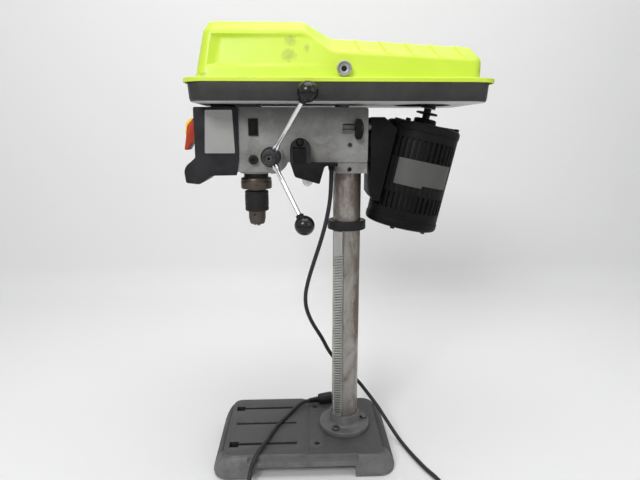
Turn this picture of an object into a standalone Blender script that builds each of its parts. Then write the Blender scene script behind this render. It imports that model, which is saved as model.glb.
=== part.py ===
"""Bench drill press with a tilted drum motor, a worklight and a power cord, as separate solids."""
import math

import bpy
import numpy as np
from mathutils import Euler, Vector

for old in list(bpy.data.objects):
    bpy.data.objects.remove(old, do_unlink=True)

# Frame: metres, +Z up, floor at Z=0, operator on the -X side, feed handles on the -Y side.
# Every sub-part is placed in the column's frame, whose upright axis stands at this point. Heights
# on the head are given for a column of DATUM_TOP, and the whole head rises with COLUMN_TOP.
COLUMN_AT = (0.0280, 0.0125, 0.0)

GAP = 0.0003                # between two faces that touch
RUN = 0.00035               # radial running clearance
SEGMENTS = 24

COLUMN_R = 0.0230
COLUMN_WALL = 0.0040
COLUMN_TOP = 0.5960
DATUM_TOP = 0.5960
SWING = 0.1500              # column axis to spindle axis
QUILL_R = 0.0200
MOTOR_R = 0.0600

FLANGE_BOLT_CIRCLE = COLUMN_R + 0.0135
FLANGE_BOLT_ANGLES = (-120.0, 8.0, 120.0)
FLANGE_BOLT_R = 0.0040
FLANGE_R = FLANGE_BOLT_CIRCLE + 0.0090
FLANGE_THICK = 0.0088
SOCKET_R = COLUMN_R + 0.0040
SOCKET_TOP = 0.0680

BASE_X = (-SWING - 0.0630, FLANGE_R + 0.0155)  # top face of the base
BASE_Y = 0.0890
BASE_TOP = 0.0384
BASE_PAD = 0.0018           # machined pad above the top face
BASE_WALL = 0.0080
BASE_CORNER = 0.0200
PAD_END_X = -FLANGE_R - 0.0195
SLOT_X = (BASE_X[0] + 0.0170, PAD_END_X - 0.0210)
SLOT_Y = 0.0560
SLOT_WIDTH = 0.0095
BENCH_HOLE_AT = (PAD_END_X + 0.0130, 0.0580)
BENCH_HOLE_R = 0.0038

RACK_FACING = -124.0        # degrees about the column
RACK_WIDTH = 0.0160
RACK_TIP_R = COLUMN_R + 0.0068
RACK_TOOTH = 0.0030
RACK_PITCH = 0.00471
RACK_Z = (0.0705, 0.4095)
RACK_TEETH_TOP = 0.3670
RACK_SLANT = 0.0022
COLLAR_R = COLUMN_R + 0.0090
COLLAR_HEIGHT = 0.0150

HEAD_Y = COLUMN_R + 0.0190
HEAD_X = (-SWING - 0.0280, COLUMN_R + 0.0050)
HEAD_TOP = 0.6060
HEAD_BELLY = 0.5230
HEAD_NOSE = 0.5080
NECK_R = COLUMN_R + 0.0030
NECK_BOTTOM = 0.5040
PINION_AT = (QUILL_R + 0.0080 - SWING, 0.5320)
PINION_R = 0.0090
PINION_BOSS_R = 0.0270
CLAMP_SCREW_R = 0.0034
CLAMP_SCREW_Z = (0.5490, 0.5110)

QUILL_BOTTOM = 0.4790
QUILL_TOP = 0.5900
QUILL_RING_R = QUILL_R + 0.00525
QUILL_RING_Z = (0.4780, 0.4960)
BEARING_R = QUILL_R - 0.0050
SPINDLE_R = 0.0080
SPINDLE_NECK_R = 0.0125
CHUCK_TOP = 0.4750
CHUCK_SLEEVE_R = 0.0195
CHUCK_SLEEVE_BOTTOM = 0.4413
CHUCK_NOSE_R = 0.0140
CHUCK_BOTTOM = 0.4190
JAW_TILT = 15.0
JAW_SIZE = 0.0050
JAW_LENGTH = 0.0200
JAW_TIP_Z = 0.4160
JAW_TIP_R = 0.0043

HUB_R = 0.0150
HUB_Y = (-HEAD_Y - 0.0330, -HEAD_Y - 0.0055)
HUB_GRIP_R = 0.0105
HUB_GRIP_END = -HEAD_Y - 0.0710
ROD_R = 0.0030
ROD_ANGLES = (58.5, -62.0)  # the third, at 180 degrees, is an empty thread
ROD_REACH = 0.0958
ROD_SPLAY = 29.5
ROD_ROOT_Y = -HEAD_Y - 0.0230
KNOB_R = 0.0145

MOTOR_TOP_AT = (MOTOR_R + 0.0650, 0.5800)
TRAY_X = (-SWING - 0.0870, MOTOR_TOP_AT[0] + 0.0720)
TRAY_Y = 0.1070
TRAY_BOTTOM = 0.6107
TRAY_RIM = 0.6370
TRAY_TAPER = 0.0080
TRAY_WALL = 0.0028
MOTOR_HOLE_X = MOTOR_TOP_AT[0] - 0.0050
MOTOR_HOLE_R = 0.0450

LID_X = (TRAY_X[0] - 0.0060, TRAY_X[1] + 0.0080)
LID_LIP = 0.0060
LID_WALL = 0.0025
HUMP_TOP = 0.7225
HUMP_END_X = (-0.0720, -0.0310)
TAIL_TOP = (0.7030, 0.6920)
TAIL_SIDE = (0.6800, 0.6700)
TAIL_END_X = LID_X[1] - 0.0190
LID_SIDE_Y = 0.0900
HINGE_Z = 0.6400
HINGE_Y = 0.1115
HINGE_R = 0.0030
HINGE_X = (-0.1400, 0.1100)

BOX_Y = HEAD_Y + 0.0030
BOX_FRONT = -SWING - 0.0885
BOX_BACK = -SWING - 0.0210
BOX_TOP = 0.6060

MOTOR_TILT = 12.0
MOTOR_LENGTH = 0.1680
MOTOR_SHAFT_R = 0.0060
BAR_Y = COLUMN_R + 0.0100
BAR_Z = 0.5770
BAR_R = 0.0060

STEP_COUNT = 5
STEP_HEIGHT = 0.0110
STEP_MIDDLE_R = 0.0270
STEP_CHANGE = 0.0030
GROOVE_DEPTH = 0.0062
SPINDLE_PULLEY_BOTTOM = 0.6260
BELT_RISE_LENGTH = 0.0300

LAMP_X = (PINION_AT[0] + 0.0290, PINION_AT[0] + 0.0605)
LAMP_FACE_Y = -HEAD_Y - 0.0160
LAMP_TOP = 0.5600

CORD_R = 0.0035
CORD_EXIT = (-COLUMN_R - 0.0045, -0.0185, 0.5080)
COIL_RADIUS = 0.0380
COIL_HALF = (0.0070, 0.0105)     # half width and half height of the wound turns


def material(name, colour, rough, metal=0.0):
    mat = bpy.data.materials.new(name)
    mat.use_nodes = True
    shader = mat.node_tree.nodes["Principled BSDF"]
    shader.inputs["Base Color"].default_value = (*colour, 1.0)
    shader.inputs["Roughness"].default_value = rough
    shader.inputs["Metallic"].default_value = metal
    mat.diffuse_color = (*colour, 1.0)
    return mat


def empty(name, at=(0, 0, 0), turn=(0, 0, 0), parent=None):
    pivot = bpy.data.objects.new(name, None)
    bpy.context.collection.objects.link(pivot)
    pivot.parent = parent
    pivot.location = at
    pivot.rotation_euler = turn
    return pivot


FRAME = empty("column_frame", COLUMN_AT)
HEAD_FRAME = empty("head_frame", (0, 0, COLUMN_TOP - DATUM_TOP), parent=FRAME)
STANDING = [FRAME]


def solid(name, verts, faces, mat=None, at=(0, 0, 0), turn=(0, 0, 0), parent=None, smooth=False):
    """Closed mesh object in the frame in use; without a material it is a cutter or an addition."""
    mesh = bpy.data.meshes.new(name)
    mesh.from_pydata([tuple(map(float, v)) for v in verts], [], [list(f) for f in faces])
    mesh.validate()
    obj = bpy.data.objects.new(name, mesh)
    bpy.context.collection.objects.link(obj)
    obj.parent = parent or STANDING[-1]
    obj.location = at
    obj.rotation_euler = turn
    face_out(mesh)
    if smooth:
        mesh.polygons.foreach_set("use_smooth", [True] * len(mesh.polygons))
    if mat:
        mesh.materials.append(mat)
    else:
        obj.hide_render = True
        obj.display_type = "WIRE"
    return obj


def face_out(mesh):
    """Turn every face outward: flip all when the signed volume is negative."""
    mesh.calc_loop_triangles()
    volume = 0.0
    for tri in mesh.loop_triangles:
        a, b, c = (mesh.vertices[i].co for i in tri.vertices)
        volume += a.dot(b.cross(c))
    if volume < 0:
        mesh.flip_normals()


def loft(rings, closed=False):
    """Quads between equal rings; end caps unless the run of rings is closed on itself."""
    count, size = len(rings), len(rings[0])
    verts = [p for ring in rings for p in ring]
    faces = []
    for i in range(count if closed else count - 1):
        j = (i + 1) % count
        for k in range(size):
            m = (k + 1) % size
            faces.append((i * size + k, i * size + m, j * size + m, j * size + k))
    if not closed:
        faces.append(tuple(range(size - 1, -1, -1)))
        faces.append(tuple((count - 1) * size + k for k in range(size)))
    return verts, faces


def place(radial, side, along, axis):
    return {"Z": (radial, side, along), "Y": (radial, along, side), "X": (along, radial, side)}[axis]


def turned(profile, axis="Z", segments=SEGMENTS, ring=False, centre=(0, 0, 0), start=0.0):
    """Profile of (radius, height) turned about an axis; ring closes the profile on itself."""
    rings = []
    for radius, height in profile:
        loop = []
        for k in range(segments):
            a = start + 2 * math.pi * k / segments
            p = place(radius * math.cos(a), radius * math.sin(a), height, axis)
            loop.append(tuple(p[i] + centre[i] for i in range(3)))
        rings.append(loop)
    return loft(rings, closed=ring)


def tube(r_in, r_out, z0, z1, edge=0.0006):
    return [(r_in, z0), (r_out - edge, z0), (r_out, z0 + edge), (r_out, z1 - edge),
            (r_out - edge, z1), (r_in, z1)]


def rod(r, z0, z1, edge=0.0006):
    return [(r - edge, z0), (r, z0 + edge), (r, z1 - edge), (r - edge, z1)]


def plain(r, z0, z1):
    return [(r, z0), (r, z1)]


def box(x, y, z):
    ring = [(x[0], y[0]), (x[1], y[0]), (x[1], y[1]), (x[0], y[1])]
    return loft([[(px, py, h) for px, py in ring] for h in z])


def prism(outline, low, high, axis="Y"):
    """Outline in the plane across the axis, pushed from low to high along it."""
    return loft([[place(u, v, h, axis) for u, v in outline] for h in (low, high)])


def arc(centre, radius, first, last, steps):
    turns = [math.radians(first + (last - first) * i / steps) for i in range(steps + 1)]
    return [(centre[0] + radius * math.cos(t), centre[1] + radius * math.sin(t)) for t in turns]


def rounded(x, y, radius, steps=5):
    """Rounded rectangle between x=(low, high) and y=(low, high)."""
    corners = ((x[1] - radius, y[1] - radius, 0), (x[0] + radius, y[1] - radius, 90),
               (x[0] + radius, y[0] + radius, 180), (x[1] - radius, y[0] + radius, 270))
    return [p for cx, cy, a in corners for p in arc((cx, cy), radius, a, a + 90, steps)]


def change(obj, tools, operation):
    for tool in tools:
        step = obj.modifiers.new(operation.lower(), "BOOLEAN")
        step.operation = operation
        step.object = tool
        step.solver = "EXACT"
    return obj


def cut(obj, *tools):
    return change(obj, tools, "DIFFERENCE")


def add(obj, *tools):
    return change(obj, tools, "UNION")


def soften(obj, width, segments=2):
    step = obj.modifiers.new("edges", "BEVEL")
    step.width = width
    step.segments = segments
    step.limit_method = "ANGLE"
    step.angle_limit = math.radians(32)
    return obj


CAST_DARK = material("cast_base_grey", (0.235, 0.235, 0.240), 0.62)
CAST_HEAD = material("cast_head_grey", (0.330, 0.330, 0.325), 0.50)
STEEL = material("column_steel", (0.560, 0.535, 0.500), 0.34, 1.0)
RACK_STEEL = material("rack_steel", (0.520, 0.520, 0.510), 0.38, 1.0)
BLACK_STEEL = material("black_steel", (0.060, 0.060, 0.062), 0.42, 0.6)
SCREW_STEEL = material("screw_steel", (0.250, 0.250, 0.255), 0.40, 1.0)
CHROME = material("feed_rod_chrome", (0.800, 0.800, 0.810), 0.10, 1.0)
BLACK_GLOSS = material("black_knob", (0.015, 0.015, 0.016), 0.16)
BLACK_PLASTIC = material("black_plastic", (0.045, 0.046, 0.050), 0.48)
LAMP_PLASTIC = material("lamp_plastic", (0.060, 0.061, 0.063), 0.40)
LABEL_PALE = material("pale_label", (0.620, 0.610, 0.600), 0.50)
MOTOR_LABEL = material("motor_label", (0.560, 0.560, 0.550), 0.50)
PADDLE_RED = material("switch_red", (0.720, 0.130, 0.070), 0.42)
KEY_YELLOW = material("switch_yellow", (0.900, 0.780, 0.180), 0.42)
BULB_CLEAR = material("lamp_bulb", (0.850, 0.850, 0.850), 0.12)
TRAY_DARK = material("tray_dark", (0.058, 0.056, 0.055), 0.46)
LID_LIME = material("lid_lime", (0.700, 0.900, 0.090), 0.40)
CUP_GREY = material("lid_cup_grey", (0.450, 0.450, 0.460), 0.42, 0.5)
RUSTY = material("rusty_steel", (0.230, 0.160, 0.120), 0.62, 0.6)
BEARING = material("bearing_steel", (0.450, 0.450, 0.460), 0.28, 1.0)
ALUMINIUM = material("pulley_aluminium", (0.620, 0.620, 0.630), 0.36, 1.0)
RUBBER = material("belt_rubber", (0.020, 0.020, 0.020), 0.74)
MOTOR_BLACK = material("motor_black", (0.026, 0.026, 0.027), 0.40)
CORD_BLACK = material("cord_black", (0.030, 0.030, 0.033), 0.50)


def base_ring(outset, z, shrink=0.0):
    """Skirt outline; the ends flare about twice as far as the long sides."""
    grow = outset - shrink
    return [(x, y, z) for x, y in rounded(
        (BASE_X[0] - outset * 1.9 + shrink, BASE_X[1] + outset * 2.3 - shrink),
        (-BASE_Y - grow, BASE_Y + grow), BASE_CORNER + outset - 0.5 * shrink)]


def base_casting():
    skirt = ((0.0074, 0.0), (0.0088, 0.0028), (0.0090, 0.0080), (0.0072, 0.0180),
             (0.0044, 0.0290), (0.0018, 0.0355), (-0.0004, BASE_TOP))
    body = solid("base_casting", *loft([base_ring(o, z) for o, z in skirt]), CAST_DARK)
    add(body, base_pad(), *[bench_boss(side) for side in (-1, 1)])
    inside = [base_ring(o, z, BASE_WALL) for o, z in
              ((0.0088, -0.002), (0.0085, 0.006), (0.0044, 0.026), (0.0030, BASE_TOP - BASE_WALL))]
    cut(body, solid("base_hollow", *loft(inside)))
    for side in (-1, 1):
        cut(body, base_arch(side), base_ledge(side), t_slot(side), bench_hole(side))
    cut(body, solid("base_groove", *box((-0.200, -0.088), (0.0026, 0.0074), (BASE_TOP - 0.001, 0.050))))
    cut(body, *[flange_bolt_hole(a, "base") for a in FLANGE_BOLT_ANGLES])
    return body


def base_pad():
    top = BASE_TOP + BASE_PAD
    rings = [(0.0008, BASE_TOP - 0.003), (0.0008, top - 0.0008), (0.0016, top)]
    return solid("base_pad", *loft([[(x, y, z) for x, y in rounded(
        (BASE_X[0] + i, PAD_END_X - i), (-BASE_Y + i, BASE_Y - i), 0.0150, 4)] for i, z in rings]))


def bench_boss(side):
    x, y = BENCH_HOLE_AT
    return solid("bench_boss", *turned(rod(0.0120, BASE_TOP - 0.004, BASE_TOP + 0.0012), segments=28,
                                       centre=(x, side * y, 0)))


def bench_hole(side):
    x, y = BENCH_HOLE_AT
    return solid("bench_hole", *turned(plain(BENCH_HOLE_R, 0.02, 0.05), segments=20, centre=(x, side * y, 0)))


def base_arch(side):
    y = sorted((side * 0.120, side * (BASE_Y - 0.006)))
    return solid("base_arch", *box((-0.166, 0.012), y, (-0.002, 0.0205)))


def base_ledge(side):
    """Cut that leaves an upright fascia above an outward sloping ledge."""
    outline = [(side * y, z) for y, z in ((0.0872, 0.060), (0.0872, 0.0315), (0.0980, 0.0262),
                                          (0.1200, 0.0262), (0.1200, 0.060))]
    return solid("base_ledge", *prism(outline, -0.170, 0.016, "X"))


def t_slot(side):
    half = SLOT_WIDTH / 2
    y = side * SLOT_Y
    slot = solid("t_slot", *box(SLOT_X, (y - half, y + half), (0.020, 0.060)))
    head = solid("t_slot_head", *box((SLOT_X[0] - 0.009, SLOT_X[0] + 0.007),
                                     (y - 0.0092, y + 0.0092), (0.0205, 0.0595)))
    return add(slot, head)


def around(radius, degrees):
    a = math.radians(degrees)
    return (radius * math.cos(a), radius * math.sin(a), 0.0)


def flange_bolt_hole(angle, owner):
    return solid(owner + "_bolt_hole", *turned(plain(FLANGE_BOLT_R + GAP, 0.020, 0.060), segments=16,
                                               centre=around(FLANGE_BOLT_CIRCLE, angle)))


def column_flange():
    bottom, step = BASE_TOP + GAP, BASE_TOP + GAP + FLANGE_THICK
    bore = COLUMN_R + GAP
    profile = [(bore, bottom), (FLANGE_R - 0.001, bottom), (FLANGE_R, bottom + 0.001),
               (FLANGE_R, step - 0.0018), (FLANGE_R - 0.0018, step), (COLUMN_R + 0.0075, step),
               (COLUMN_R + 0.0054, step + 0.0010), (SOCKET_R, step + 0.0040), (SOCKET_R, SOCKET_TOP - 0.0016),
               (SOCKET_R - 0.0016, SOCKET_TOP), (bore, SOCKET_TOP)]
    flange = solid("column_flange", *turned(profile, ring=True), CAST_DARK, smooth=False)
    return cut(flange, *[flange_bolt_hole(a, "flange") for a in FLANGE_BOLT_ANGLES])


def flange_bolts():
    seat = BASE_TOP + GAP + FLANGE_THICK + GAP
    for number, angle in enumerate(FLANGE_BOLT_ANGLES, 1):
        bolt = [(FLANGE_BOLT_R, 0.0325), (FLANGE_BOLT_R, seat), (0.0066, seat), (0.0066, seat + 0.0042),
                (0.0056, seat + 0.0050)]
        solid("flange_bolt_%d" % number, *hex_turned(bolt), SCREW_STEEL,
              at=around(FLANGE_BOLT_CIRCLE, angle), turn=(0, 0, math.radians(angle)))


def hex_turned(profile):
    """Turned profile whose sections wider than the shank are hexagons."""
    rings = []
    for radius, z in profile:
        loop = []
        for k in range(12):
            a = math.radians(30 * k)
            swell = 1.0 if k % 2 == 0 or radius < 0.0045 else math.cos(math.radians(30))
            loop.append((radius * swell * math.cos(a), radius * swell * math.sin(a), z))
        rings.append(loop)
    return loft(rings)


def column_tube():
    solid("column_tube", *turned(tube(COLUMN_R - COLUMN_WALL, COLUMN_R, BASE_TOP + GAP, COLUMN_TOP, 0.001),
                                 ring=True), STEEL, smooth=True)


def column_rack():
    """Toothed bar; its outline runs up the flat back and down the toothed face."""
    back, root = COLUMN_R + RUN, RACK_TIP_R - RACK_TOOTH
    outline = [(back, RACK_Z[0]), (back, RACK_Z[1]), (RACK_TIP_R - 0.001, RACK_Z[1]),
               (RACK_TIP_R, RACK_Z[1] - 0.001), (RACK_TIP_R, RACK_TEETH_TOP + 0.003)]
    slants = [0.0] * 5
    z = RACK_TEETH_TOP
    while z > RACK_Z[0] + RACK_PITCH + RACK_SLANT:
        flank = RACK_PITCH * 0.18
        for r, drop in ((RACK_TIP_R, 0.0), (root, flank), (root, 0.5 * RACK_PITCH - 0.4 * flank),
                        (RACK_TIP_R, 0.5 * RACK_PITCH + 0.6 * flank)):
            outline.append((r, z - drop))
            slants.append(RACK_SLANT)
        z -= RACK_PITCH
    outline.append((RACK_TIP_R, RACK_Z[0]))
    slants.append(0.0)
    rings = [[(r, side * RACK_WIDTH / 2, h + side * s) for (r, h), s in zip(outline, slants)]
             for side in (-1, 1)]
    solid("column_rack", *loft(rings), RACK_STEEL, turn=(0, 0, math.radians(RACK_FACING)))


def rack_collar():
    low = RACK_Z[1] + GAP
    solid("rack_collar", *turned(tube(COLUMN_R + GAP, COLLAR_R, low, low + COLLAR_HEIGHT, 0.0012),
                                 ring=True), BLACK_STEEL, smooth=False)


def head_outline():
    px, pz = PINION_AT
    belly = arc((px, pz), PINION_BOSS_R, -97, -20, 6)
    return ([(HEAD_X[0], HEAD_NOSE), (px - 0.0060, HEAD_NOSE)] + belly[1:]
            + [(HEAD_X[1], HEAD_BELLY), (HEAD_X[1], HEAD_TOP), (HEAD_X[0], HEAD_TOP)])


def head_casting():
    head = solid("head_casting", *prism(head_outline(), -HEAD_Y, HEAD_Y), CAST_HEAD)
    soften(head, 0.0035)
    spindle = (-SWING, 0, 0)
    add(head, solid("quill_boss", *turned(rod(QUILL_R + 0.0062, 0.5035, 0.5200, 0.0012), centre=spindle)),
        solid("neck", *turned(rod(NECK_R, NECK_BOTTOM, 0.5300, 0.0015))),
        solid("feed_boss", *turned(rod(0.0190, -HEAD_Y - 0.0045, -HEAD_Y + 0.004, 0.0012), "Y",
                                   centre=(PINION_AT[0], 0, PINION_AT[1]))),
        solid("front_tray_pad", *box((HEAD_X[0] + 0.0015, 0.0080 - SWING), (-0.034, 0.034),
                                      (HEAD_TOP - 0.004, TRAY_BOTTOM - GAP))))
    for side in (-1, 1):
        add(head, solid("rear_tray_pad", *turned(rod(0.0090, HEAD_TOP - 0.004, TRAY_BOTTOM - GAP),
                                                 segments=24, centre=(-0.010, side * 0.030, 0))))
    cut(head, solid("column_bore", *turned(plain(COLUMN_R + GAP, 0.490, DATUM_TOP + 0.002), start=0.06)),
        solid("quill_bore", *turned(plain(QUILL_R + RUN, 0.495, 0.5960), centre=spindle, start=0.05)),
        solid("pulley_bore", *turned(plain(0.0122, 0.590, 0.620), segments=32, centre=spindle)),
        solid("pinion_bore", *turned(plain(PINION_R + RUN, -0.060, 0.060), "Y", 32,
                                     centre=(PINION_AT[0], 0, PINION_AT[1]))),
        solid("lock_hole", *turned(plain(0.0040, -0.060, -0.018), "Y", 20, centre=(-SWING, 0, 0.527))),
        solid("wing_hole", *turned(plain(0.0033, -0.060, -0.030), "Y", 16, centre=(0.012, 0, BAR_Z - 0.004))))
    for side in (-1, 1):
        cut(head, solid("bar_hole", *turned(plain(BAR_R + GAP, -0.040, 0.060), "X", 24,
                                            centre=(0, side * BAR_Y, BAR_Z))))
    for z in CLAMP_SCREW_Z:
        cut(head, solid("clamp_hole", *turned(plain(CLAMP_SCREW_R + GAP, -0.060, -0.015), "Y", 18,
                                              centre=(0, 0, z), start=0.11)))
    return head


def head_screws():
    """Socket set screws that clamp the column, one in the side face and one in the neck."""
    for name, z, face in (("clamp_screw_upper", CLAMP_SCREW_Z[0], -HEAD_Y),
                          ("clamp_screw_lower", CLAMP_SCREW_Z[1], -NECK_R)):
        tip = -COLUMN_R - GAP
        end = min(face + 0.0025, tip - 0.0022)
        screw = solid(name, *turned(rod(CLAMP_SCREW_R, end, tip), "Y", 24, centre=(0, 0, z)), SCREW_STEEL)
        if tip - end > 0.006:
            cut(screw, solid(name + "_socket", *turned(plain(0.0017, end - 0.004, end + 0.0035),
                                                       "Y", 6, centre=(0, 0, z))))


def quill_lock():
    shank, head = -QUILL_R - 0.0009, -HEAD_Y - GAP
    profile = [(0.0037, shank), (0.0037, head), (0.0070, head), (0.0070, head - 0.0055),
               (0.0060, head - 0.0065)]
    lock = solid("quill_lock", *turned(profile, "Y", 28, centre=(-SWING, 0, 0.527)), BLACK_STEEL, smooth=False)
    cut(lock, solid("lock_socket", *turned(plain(0.0026, head - 0.010, head - 0.003), "Y", 6,
                                           centre=(-SWING, 0, 0.527))))


def control_box():
    """Switch housing that slips over the nose of the head, with a chin under its front."""
    b, f = BOX_BACK, BOX_FRONT
    outline = [(b - 0.0050, 0.5030), (b - 0.0010, 0.5270), (b, BOX_TOP), (f, BOX_TOP), (f - 0.0005, 0.5300),
               (f - 0.0150, 0.5180), (f - 0.0185, 0.5100), (f - 0.0165, 0.4915), (f + 0.0045, 0.4890),
               (f + 0.0240, 0.5025)]
    case = solid("control_box", *prism(outline, -BOX_Y, BOX_Y), BLACK_PLASTIC)
    soften(case, 0.0014)
    cut(case, solid("box_hollow", *box((f + 0.003, -SWING), (-HEAD_Y - GAP, HEAD_Y + GAP), (0.506, BOX_TOP - 0.003))),
        solid("box_mouth", *box((b - 0.0102, -SWING), (-HEAD_Y - GAP, HEAD_Y + GAP), (0.480, BOX_TOP + 0.010))),
        solid("paddle_window", *box((f - 0.010, f + 0.010), (-0.0105, 0.0105), (0.553, 0.585))))
    return case


def box_label():
    b, f = BOX_BACK, BOX_FRONT
    outline = [(f + 0.0150, 0.5370), (b - 0.0065, 0.5370), (b - 0.0090, 0.6015), (f + 0.0180, 0.6015)]
    solid("box_label", *prism(outline, -BOX_Y - GAP - 0.0004, -BOX_Y - GAP), LABEL_PALE)


def switch_paddle():
    """Paddle hung on a cross pivot inside the housing, with its tail through the window."""
    pivot = (BOX_FRONT + 0.0035, 0.0, 0.5800)
    shape = [(-0.0015, 0.5560), (-0.0015, 0.5835), (-0.0095, 0.5865), (-0.0165, 0.5790), (-0.0190, 0.5600),
             (-0.0225, 0.5415), (-0.0175, 0.5405), (-0.0110, 0.5530)]
    outline = [(BOX_FRONT + x - pivot[0], z - pivot[2]) for x, z in shape]
    paddle = solid("switch_paddle", *prism(outline, -0.0160, 0.0160), PADDLE_RED, at=pivot)
    soften(paddle, 0.0010)
    stem = [(x - pivot[0], z - pivot[2]) for x, z in ((BOX_FRONT - 0.004, 0.560), (BOX_FRONT + 0.008, 0.572),
                                                      (BOX_FRONT + 0.008, 0.582), (BOX_FRONT - 0.004, 0.582))]
    add(paddle, solid("paddle_stem", *prism(stem, -0.0101, 0.0101), at=pivot))
    key = [(-0.0172, 0.5790), (-0.0105, 0.5862), (-0.0075, 0.5900), (-0.0130, 0.5905), (-0.0200, 0.5820),
           (-0.0218, 0.5650), (-0.0193, 0.5648)]
    outline = [(BOX_FRONT + x - GAP - pivot[0], z + GAP - pivot[2]) for x, z in key]
    solid("switch_key", *prism(outline, -0.0060, 0.0060), KEY_YELLOW, at=pivot)


def rocker_switch():
    """Worklight rocker in a shallow frame on the side of the head."""
    face, x, z = -HEAD_Y - GAP, -SWING + 0.001, 0.5760
    frame = solid("rocker_frame", *box((x - 0.0075, x + 0.0075), (face - 0.0022, face), (z - 0.0130, z + 0.0130)),
                  BLACK_PLASTIC)
    cut(frame, solid("rocker_window", *box((x - 0.0057, x + 0.0057), (face - 0.010, face - 0.0008),
                                           (z - 0.0110, z + 0.0110))))
    pivot = (x, face - 0.0026, z)
    outline = [(0.0000, 0.0102), (-0.0022, 0.0100), (-0.0014, 0.0), (-0.0004, -0.0100), (0.0008, -0.0102),
               (0.0011, 0.0000)]
    solid("light_rocker", *prism(outline, -0.0053, 0.0053, "X"), BLACK_GLOSS, at=pivot)


def lamp():
    face = -HEAD_Y - GAP
    middle = (LAMP_X[0] + LAMP_X[1]) / 2
    half = (LAMP_X[1] - LAMP_X[0]) / 2
    crown = arc((middle, LAMP_TOP - half), half, 0, 180, 10)
    housing = solid("lamp_housing", *prism([(LAMP_X[0], 0.5226), (LAMP_X[1], 0.5226)] + crown,
                                           LAMP_FACE_Y, face), LAMP_PLASTIC)
    soften(housing, 0.0020)
    cut(housing, solid("lamp_recess", *turned(plain(0.0062, -0.070, LAMP_FACE_Y + 0.006), "Y", 24,
                                              centre=(middle - 0.0005, 0, 0.5535))))
    head = [(0.0052, LAMP_FACE_Y + 0.006 - GAP), (0.0052, LAMP_FACE_Y + 0.0025),
            (0.0030, LAMP_FACE_Y + 0.0015)]
    solid("lamp_screw", *turned(head, "Y", 20, centre=(middle - 0.0005, 0, 0.5535)), SCREW_STEEL)
    lamp_shade()
    solid("lamp_bulb", *turned([(0.0075, 0.5195), (0.0075, 0.5080), (0.0088, 0.5000), (0.0088, 0.4920),
                                (0.0065, 0.4862), (0.0025, 0.4835)], segments=24,
                               centre=(LAMP_X[1] - 0.0045, -0.0300, 0)), BULB_CLEAR, smooth=True)


def lamp_shade():
    """Wedge hood with a slanted open underside and a tongue that runs back under the head."""
    top = HEAD_BELLY - GAP - 0.0002
    a, b = LAMP_X
    outer = [(a + 0.0002, top), (a + 0.0070, 0.5012), (b + 0.0135, 0.4902), (b + 0.0215, 0.5180),
             (b + 0.0415, 0.5180), (b + 0.0415, top)]
    inner = [(a + 0.0035, 0.5195), (a + 0.0100, 0.4900), (b + 0.0115, 0.4800), (b + 0.0185, 0.5195)]
    shade = solid("lamp_shade", *prism(outer, LAMP_FACE_Y, -0.0100), LAMP_PLASTIC)
    cut(shade, solid("shade_hollow", *prism(inner, LAMP_FACE_Y + 0.003, -0.0130)),
        solid("shade_bulb_seat", *turned(plain(0.0078, 0.5150, 0.5205), segments=24,
                                         centre=(LAMP_X[1] - 0.0045, -0.0300, 0))),
        solid("shade_gland_room", *box((CORD_EXIT[0] - 0.0105, CORD_EXIT[0] + 0.0175), (-0.036, 0.0), (0.50, 0.53))))


def feed():
    x, z = PINION_AT
    shaft = [(PINION_R - 0.0008, HEAD_Y + 0.010), (PINION_R, HEAD_Y + 0.009), (PINION_R, ROD_ROOT_Y + 0.0020),
             (PINION_R - 0.0008, ROD_ROOT_Y + 0.0012)]
    pinion = solid("pinion_shaft", *turned(shaft, "Y", 24), SCREW_STEEL, at=(x, 0, z))
    for k in range(12):
        a = 2 * math.pi * k / 12
        tool = solid("pinion_gap", *turned(plain(0.0016, -0.014, 0.014), "Y", 6,
                                           centre=(0.0094 * math.cos(a), 0, 0.0094 * math.sin(a))), at=(x, 0, z))
        cut(pinion, tool)
    hub = [(PINION_R + RUN, HUB_Y[1] - GAP), (HUB_R - 0.001, HUB_Y[1] - GAP), (HUB_R, HUB_Y[1] - 0.0013),
           (HUB_R, HUB_Y[0] + 0.003), (HUB_R - 0.003, HUB_Y[0]), (HUB_GRIP_R, HUB_Y[0] - 0.0005),
           (HUB_GRIP_R, HUB_GRIP_END + 0.0015), (HUB_GRIP_R - 0.0015, HUB_GRIP_END), (0.0020, HUB_GRIP_END),
           (0.0020, ROD_ROOT_Y + 0.0008),
           (PINION_R + RUN, ROD_ROOT_Y + 0.0008)]
    part = solid("feed_hub", *turned(hub, "Y", ring=True, start=0.07), BLACK_STEEL, at=(x, 0, z))
    for angle in ROD_ANGLES + (180.0,):
        cut(part, solid("rod_socket", *turned(plain(ROD_R + GAP, 0.0100, 0.0300), "X", 16),
                        at=rod_root(), turn=rod_turn(angle)))
    for number, angle in enumerate(ROD_ANGLES, 1):
        feed_rod(number, angle)


def rod_turn(angle):
    """Turn +X to the rod's direction: out at the angle in the XZ plane and splayed towards -Y."""
    a, s = math.radians(angle), math.radians(ROD_SPLAY)
    aim = Vector((math.cos(a) * math.cos(s), -math.sin(s), math.sin(a) * math.cos(s)))
    return aim.to_track_quat("X", "Z").to_euler()


def rod_root():
    return (PINION_AT[0], ROD_ROOT_Y, PINION_AT[1])


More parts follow.
